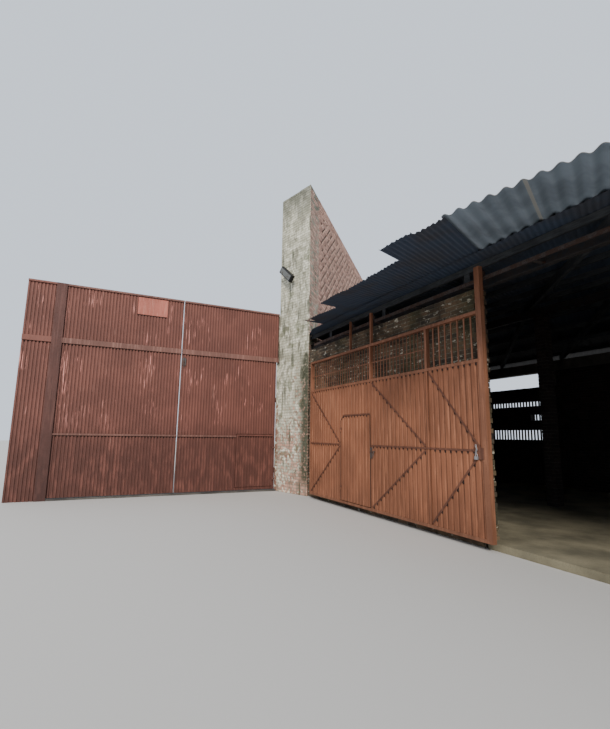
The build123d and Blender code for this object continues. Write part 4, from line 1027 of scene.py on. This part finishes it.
# Painted shade: dark strips in the gaps beside the post and the stile, and round the wicket's opening
SHADE_LINE_W, EDGE_BACK, EDGE_FRONT = 0.014, SHEET_FACE + 0.0015, SHEET_FACE - 0.0012
under_top, cut_z, cut_x = PANEL_TOP - 0.05, WICKET_TOP - WICKET_CUT, WICKET_L + WICKET_CUT
parts = [box_part((x0, EDGE_FRONT, z0), (x1, EDGE_BACK, z1)) for x0, x1, z0, z1 in (
    (leaf_high[0] - 0.008, leaf_high[0] + 0.004, foot, under_top),
    (POST_2 + 0.026, POST_2 + 0.032, foot, under_top), (POST_2 - 0.032, POST_2 - 0.026, foot, under_top),
    (WICKET_L - SHADE_LINE_W, WICKET_L, WICKET_SILL, cut_z), (WICKET_R, WICKET_R + SHADE_LINE_W, WICKET_SILL, WICKET_TOP),
    (cut_x, WICKET_R, WICKET_TOP - 0.009, WICKET_TOP - 0.001))]
x = np.array([WICKET_L - SHADE_LINE_W, WICKET_L, cut_x, cut_x])
z = np.array([cut_z, cut_z, WICKET_TOP, WICKET_TOP + SHADE_LINE_W])
parts.append(blocks((x, EDGE_BACK, z), (x, EDGE_FRONT, z)))
new_piece("leaf_painted_shade_lines", "sliding_leaf", PAINTED_SHADE, parts)

# Rusty latch on the wicket's right side: a plate, a bolt with its handle, and two staples
x, y = WICKET_R, -0.3111
new_piece("wicket_latch", "sliding_leaf", OLD_STEEL, [
    box_part((x + 0.02, y - 0.004, 1.12), (x + 0.09, y + 0.006, 1.34)),
    tube_part([(x + 0.02, y - 0.014, 1.26), (x + 0.2, y - 0.014, 1.26)], 0.008),
    tube_part([(x + 0.15, y - 0.014, 1.26), (x + 0.15, y - 0.02, 1.22), (x + 0.15, y - 0.022, 1.17)], 0.007),
    box_part((x + 0.03, y - 0.012, 1.16), (x + 0.05, y - 0.004, 1.19)),
    box_part((x + 0.06, y - 0.012, 1.3), (x + 0.08, y - 0.004, 1.33))])

# Chain that hangs beside the hasp, with a padlock: each link is a bar bent round two half circles
CHAIN_X, CHAIN_Y, CHAIN_TOP, LINK_STEP, LINKS = leaf_high[0] - 0.1, -0.327, 1.44, 0.026, 5
parts = []
for number in range(LINKS):
    angle = np.linspace(0, 2 * math.pi, 12, endpoint=False)
    long_way = 0.0105 * np.sin(angle) + 0.0085 * np.sign(np.sin(angle)) * (np.abs(np.sin(angle)) > 0.01)
    turn = math.radians(90 * (number % 2) + 12 * math.sin(number * 2.1))
    level_way = 0.01 * np.cos(angle)[:, None] * (math.cos(turn), math.sin(turn), 0)
    middle = np.array([CHAIN_X + 0.01 * math.sin(number * 0.9), CHAIN_Y, CHAIN_TOP - number * LINK_STEP])
    parts.append(tube_part(middle + level_way + long_way[:, None] * (0, 0, 1), 0.004, 6, 0.7, True,
                           (-math.sin(turn), math.cos(turn), 0)))
new_piece("door_chain", "sliding_leaf", CHAIN_STEEL, parts)
bow = np.linspace(0, math.pi, 9)
lock_top = CHAIN_TOP - LINKS * LINK_STEP
shackle = np.stack([CHAIN_X - 0.017 * np.cos(bow), np.full(9, CHAIN_Y), lock_top + 0.02 * np.sin(bow)], -1)
shackle = np.concatenate([shackle[:1] - (0, 0, 0.022), shackle, shackle[-1:] - (0, 0, 0.022)])
new_piece("door_padlock", "sliding_leaf", CHAIN_STEEL, [
    box_part((CHAIN_X - 0.027, CHAIN_Y - 0.012, lock_top - 0.065),
             (CHAIN_X + 0.027, CHAIN_Y + 0.012, lock_top - 0.02), 0.6),
    tube_part(shackle, 0.005, 8, 0.8)])

# Yard gate: the ribs stand upright along Y, seen from the yard at +X
GATE_RIBS = Ribs(0.076, 0.036, 0.009, 0.0155)
GATE_TOP, BAND_Z, BAND_H, RAIL_H, LOW_RAIL_Z, TUBE = 5.15, 3.67, 0.13, 0.045, 1.48, 0.04
GATE_FACE, SKIN_X, RAIL_BACK, RAIL_FRONT = -9.9302, -9.948, -9.93, -9.9
SHADE_BACK, SHADE_FRONT, BOLT_STEP = -9.9452, -9.9325, 0.38


def gate_sheet(y0, y1, foot, head):
    """Ribbed iron of the yard gate: a profile along Y, drawn up from foot to head."""
    y = GATE_RIBS.bends(y0, y1)
    deep = GATE_RIBS.deep(y)
    z = np.linspace(foot, head, 4)[:, None]
    x = GATE_FACE - deep[None] - 0.0008 * (1 + np.sin(y * 3.7)[None] * np.sin(z * 1.9))
    grid = np.stack(np.broadcast_arrays(x, y, z), -1)
    return shell(grid, grid - (0.0009, 0, 0), rib_tones(deep, 4))


def gate_rail(y0, y1, foot, head):
    """A flat rail on the yard side of the gate's sheets."""
    return box_part((RAIL_BACK, y0, foot), (RAIL_FRONT, y1, head), 0.6)


def gate_tube(y0, y1, foot, head, thick=TUBE):
    """A square tube of the frame behind the gate's sheets."""
    return box_part((SKIN_X - thick, y0, foot), (SKIN_X, y1, head))


low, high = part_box("gate_left_sheet")
new_piece("gate_left_ribbed_sheet", "gate_left", GATE_PAINT,
          [gate_sheet(low[1], high[1], low[2], high[2])], ["gate_left_sheet"])
low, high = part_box("gate_side_panel")
new_piece("gate_side_ribbed_panel", "building", GATE_PAINT, [
    gate_sheet(low[1], high[1], 0.0, GATE_TOP),
    gate_rail(low[1], high[1], GATE_TOP - RAIL_H, GATE_TOP),
    gate_rail(low[1], high[1], BAND_Z, BAND_Z + BAND_H),
    gate_tube(low[1], low[1] + 0.06, 0, GATE_TOP, 0.06)], ["gate_side_panel"])
low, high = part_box("gate_right_sheet")
GATE_NEAR = -0.58
YARD_Y0, YARD_Y1, YARD_Z0, YARD_Z1 = -1.724, -0.64, 0.128, 1.572
new_piece("gate_right_ribbed_sheet", "gate_right", GATE_PAINT, [
    gate_sheet(low[1], YARD_Y0, low[2], high[2]), gate_sheet(YARD_Y0, YARD_Y1, YARD_Z1, high[2]),
    gate_sheet(YARD_Y0, YARD_Y1, low[2], YARD_Z0), gate_sheet(YARD_Y1, GATE_NEAR, low[2], high[2]),
    gate_sheet(GATE_NEAR, high[1], BAND_Z, high[2])], ["gate_right_sheet"])

# Wicket of the yard gate: ribbed like the leaf round it, in a tube frame with two raised rails
y0, y1, z0, z1 = YARD_Y0 + 0.012, YARD_Y1 - 0.012, 0.14, 1.56
parts = [gate_sheet(y0, y1, z0, z1),
         gate_rail(y0, y1, z1 - RAIL_H, z1), gate_rail(y0, y0 + RAIL_H, z0, z1 - RAIL_H),
         gate_tube(y0, y0 + TUBE, z0, z1), gate_tube(y1 - TUBE, y1, z0, z1),
         gate_tube(y0 + TUBE, y1 - TUBE, z0, z0 + TUBE), gate_tube(y0 + TUBE, y1 - TUBE, z1 - TUBE, z1)]
turn_x, turn_y = RAIL_FRONT + 0.012, YARD_Y1 - 0.006
for z in (0.32, 1.18):
    foot, head = z + 0.0454, z + 0.09
    parts += [gate_rail(y1 - 0.04, y1, foot, head),
              box_part((RAIL_FRONT, turn_y - 0.04, foot), (RAIL_FRONT + 0.006, turn_y, head)),
              tube_part([(turn_x, turn_y, foot), (turn_x, turn_y, head)], 0.012, 12)]
new_piece("gate_wicket_ribbed", "gate_wicket", GATE_PAINT, parts, ["gate_wicket"])

# Painted shade: dark blocks in the troughs under the gate's raised band and low rail, and under the wicket's
# head
for name, body, runs in (
        ("gate_left_painted_shade", "gate_left", ((-6.15, -3.34, BAND_Z), (-6.15, -3.34, LOW_RAIL_Z))),
        ("gate_right_painted_shade", "gate_right", ((-3.3, -0.6, BAND_Z), (-3.3, YARD_Y0 - 0.03, LOW_RAIL_Z))),
        ("gate_wicket_painted_shade", "gate_wicket", ((y0 + 0.05, y1 - 0.02, z1 - RAIL_H),)),
        ("gate_side_painted_shade", "building", ((-6.96, -6.4, BAND_Z),))):
    parts = []
    for low_y, high_y, under in runs:
        across, level = shade_blocks(GATE_RIBS.troughs(low_y, high_y), under, (0.013, 0.0155), (0.02, 0.045))
        parts.append(blocks((SHADE_BACK, across, level), (SHADE_FRONT, across, level), 0.2))
    new_piece(name, body, PAINTED_SHADE, parts)

# The plate's lower edge is bent out and in shade; its dark colour is painted shade beneath the plate
low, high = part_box("gate_plate")
new_piece("gate_plate_rim", "gate_left", PAINTED_SHADE, [
    box_part((high[0], low[1] + 0.004, low[2]), (high[0] + 0.004, high[1] - 0.004, low[2] + 0.02)),
    box_part((high[0], low[1] + 0.002, low[2] + 0.02), (high[0] + 0.0015, low[1] + 0.012, high[2] - 0.004))])

# Rusty bolt plate beside the meeting gap, and bolt heads along the gate's raised bands
new_piece("gate_bolt_plate", "gate_right", OLD_STEEL, [
    box_part((RAIL_BACK, -3.3, 3.36), (RAIL_BACK + 0.012, -3.2, 3.56)),
    tube_part([(RAIL_BACK + 0.02, -3.25, 3.3), (RAIL_BACK + 0.02, -3.25, 3.6)], 0.009),
    tube_part([(RAIL_BACK + 0.024, -3.25, 3.45), (RAIL_BACK + 0.05, -3.25, 3.45)], 0.008)])


def bolt_heads(rows, toward, radius, height):
    """Six-sided heads at rows of places, each given as x, y and z: a hexagon drawn out one way."""
    centres = np.concatenate([np.stack(np.broadcast_arrays(*row), -1) for row in rows])[:, None]
    toward = np.asarray(toward, float)
    across = np.cross(toward, (0.21, 0.36, 0.91))
    across /= np.linalg.norm(across)
    turn = np.arange(6)[:, None] * math.pi / 3
    ring = radius * (np.cos(turn) * across + np.sin(turn) * np.cross(toward, across))
    points = np.stack([centres + ring, centres + ring + toward * height], 1)
    corners = [[k, (k + 1) % 6, (k + 1) % 6 + 6, k + 6] for k in range(6)]
    corners += [[6, 7, 8, 9], [6, 9, 10, 11], [3, 2, 1, 0], [5, 4, 3, 0]]
    corners = np.arange(len(centres))[:, None, None] * 12 + np.array(corners)
    return points.reshape(-1, 3), corners.reshape(-1, 4), np.full(len(centres) * 10, 0.5)


for name, body, y0, y1 in (("gate_left_band_bolts", "gate_left", -6.1, -3.4),
                           ("gate_right_band_bolts", "gate_right", -3.25, -0.6)):
    rows = [(RAIL_FRONT, np.arange(y0, y1, BOLT_STEP), BAND_Z + up) for up in (0.035, 0.095)]
    new_piece(name, body, GATE_FRAME, [bolt_heads(rows, (1, 0, 0), 0.009, 0.005)])

# Bolts with caps on the cement sheets' crests, in two rows
rows = []
for y in (-0.75, -0.1):
    x = CEMENT_X + np.arange(1, 50, 2) * CEMENT_WAVE / ACROSS_X - LEAN * (y - CEMENT_Y)
    x = x[x < CEMENT_X + 4 * GROUP_W - LEAN * (y - CEMENT_Y) - 0.2]
    rows.append((x, y, float(under_sheet(y)) + SHEET_T + CEMENT_DEPTH - 0.002))
new_piece("cement_sheet_bolts", "building", OLD_STEEL,
          [bolt_heads(rows, (0, 0, 1), 0.014, 0.012)])

# Floodlight: cooling fins on its back edge and a dusty glass set in its face
tilt, upward = math.radians(-42), np.array([0, 0, 1.0])
lamp_out = np.array([math.sin(PIER_TURN), -math.cos(PIER_TURN), 0.0])
lamp_level = np.array([*PIER_DIR, 0.0])
lamp_long = lamp_level * math.cos(tilt) + upward * math.sin(tilt)
lamp_wide = -lamp_level * math.sin(tilt) + upward * math.cos(tilt)
lamp_place = np.array([*beside_arris(0.785, 0), 6.2])


def lamp_box(long_0, long_1, half_width, out_0, out_1):
    """A box along the lamp's own length and outward direction, centred across its width."""
    return blocks(*(np.array([lamp_place + a * lamp_long + b * lamp_wide + c * lamp_out for a, b in oblong(
        long_0, -half_width, long_1, half_width)]).T for c in (out_0, out_1)))


new_piece("floodlight_glass", "building", LAMP_GLASS,
          [lamp_box(-0.28, 0.28, 0.075, 0.259, 0.2615)])
new_piece("floodlight_fins", "building", LAMP_BODY,
          [lamp_box(a, a + 0.006, 0.1, 0.128, 0.15) for a in np.linspace(-0.29, 0.284, 15)])

# Finishes of the CAD pieces
CAD_FINISHES = (
    (FLOOR, ["floor_slab"]),
    (BEAM_CONCRETE, ["rear_pillars", "rear_beam", "gate_sill"]),
    (BEAM_STEEL, ["front_beam", "ridge_beam"]),
    (TIMBER, ["front_rafters", "rear_rafters", "front_purlins", "rear_purlins"]),
    (TRACK_STEEL, ["door_track", "door_wheels"]),
    (OLD_STEEL, ["track_brackets", "gate_hinge_pins", "lamp_arm"]),
    (LEAF_FRAME, ["door_frame", "door_grille"]),
    (LEAF_FLATS, ["door_braces", "wicket_frame", "door_hasp"]),
    (GATE_POST, ["gate_post", "gate_post_cover"]),
    (GATE_FRAME, ["gate_left_frame", "gate_right_frame"]),
    (LIMEWASH, ["gate_pier_post"]), (PLATE_RUST, ["gate_plate"]), (LAMP_BODY, ["floodlight"]),
)
for finish, names in CAD_FINISHES:
    for name in names:
        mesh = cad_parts[name].data
        mesh.materials.clear()
        mesh.materials.append(finish)

# Floor, light and camera
REACH = 90.0
ground = bpy.data.meshes.new("pale_floor")
ground.from_pydata([(x, y, -0.001) for x, y in oblong(-REACH, -REACH, REACH, REACH)], [], [(0, 1, 2, 3)])
ground_finish = bpy.data.materials.new("pale_floor")
ground_finish.use_nodes = True
ground_shader = ground_finish.node_tree.nodes["Principled BSDF"].inputs
ground_shader["Base Color"].default_value = (0.5, 0.48, 0.45, 1)
ground_shader["Roughness"].default_value = 0.95
ground.materials.append(ground_finish)
add_object("pale_floor", ground)

world = bpy.data.worlds.new("studio")
world.use_nodes = True
background = world.node_tree.nodes["Background"].inputs
background["Color"].default_value = (0.80, 0.88, 1.0, 1)
background["Strength"].default_value = 1.15
bpy.context.scene.world = world


def stand(piece, right, up, back, at=(0, 0, 0)):
    """Turns a light or camera so that its own X, Y and Z point right, up and back, and places it."""
    piece.matrix_world = Matrix([[*row] for row in zip(right, up, back, at)] + [[0, 0, 0, 1]])


key = bpy.data.lights.new("soft_key", "SUN")
key.energy, key.angle, key.color = 3.8, math.radians(14), (1.0, 0.96, 0.9)
towards = np.array([0.9, -0.55, 0.6])
towards /= np.linalg.norm(towards)
side = np.cross((0, 0, 1), towards)
side /= np.linalg.norm(side)
stand(add_object("soft_key", key), side, np.cross(towards, side), towards)

# The camera stands where the photograph was taken from, turned by yaw, pitch and roll
FOCAL, LONG_SIDE, SENSOR = 434.0, 729.0, 36.0
EYE = (1.84, -5.335, 1.55)
yaw, pitch, roll = (math.radians(a) for a in (-64.18, 9.31, -0.82))
look = np.array([math.sin(yaw) * math.cos(pitch), math.cos(yaw) * math.cos(pitch), math.sin(pitch)])
level = np.array([math.cos(yaw), -math.sin(yaw), 0.0])
above = np.cross(level, look)
camera = bpy.data.cameras.new("camera")
camera.sensor_width, camera.lens, camera.clip_end = SENSOR, FOCAL / LONG_SIDE * SENSOR, 300
camera_piece = add_object("camera", camera)
stand(camera_piece, level * math.cos(roll) - above * math.sin(roll),
      level * math.sin(roll) + above * math.cos(roll), -look, EYE)
bpy.context.scene.camera = camera_piece
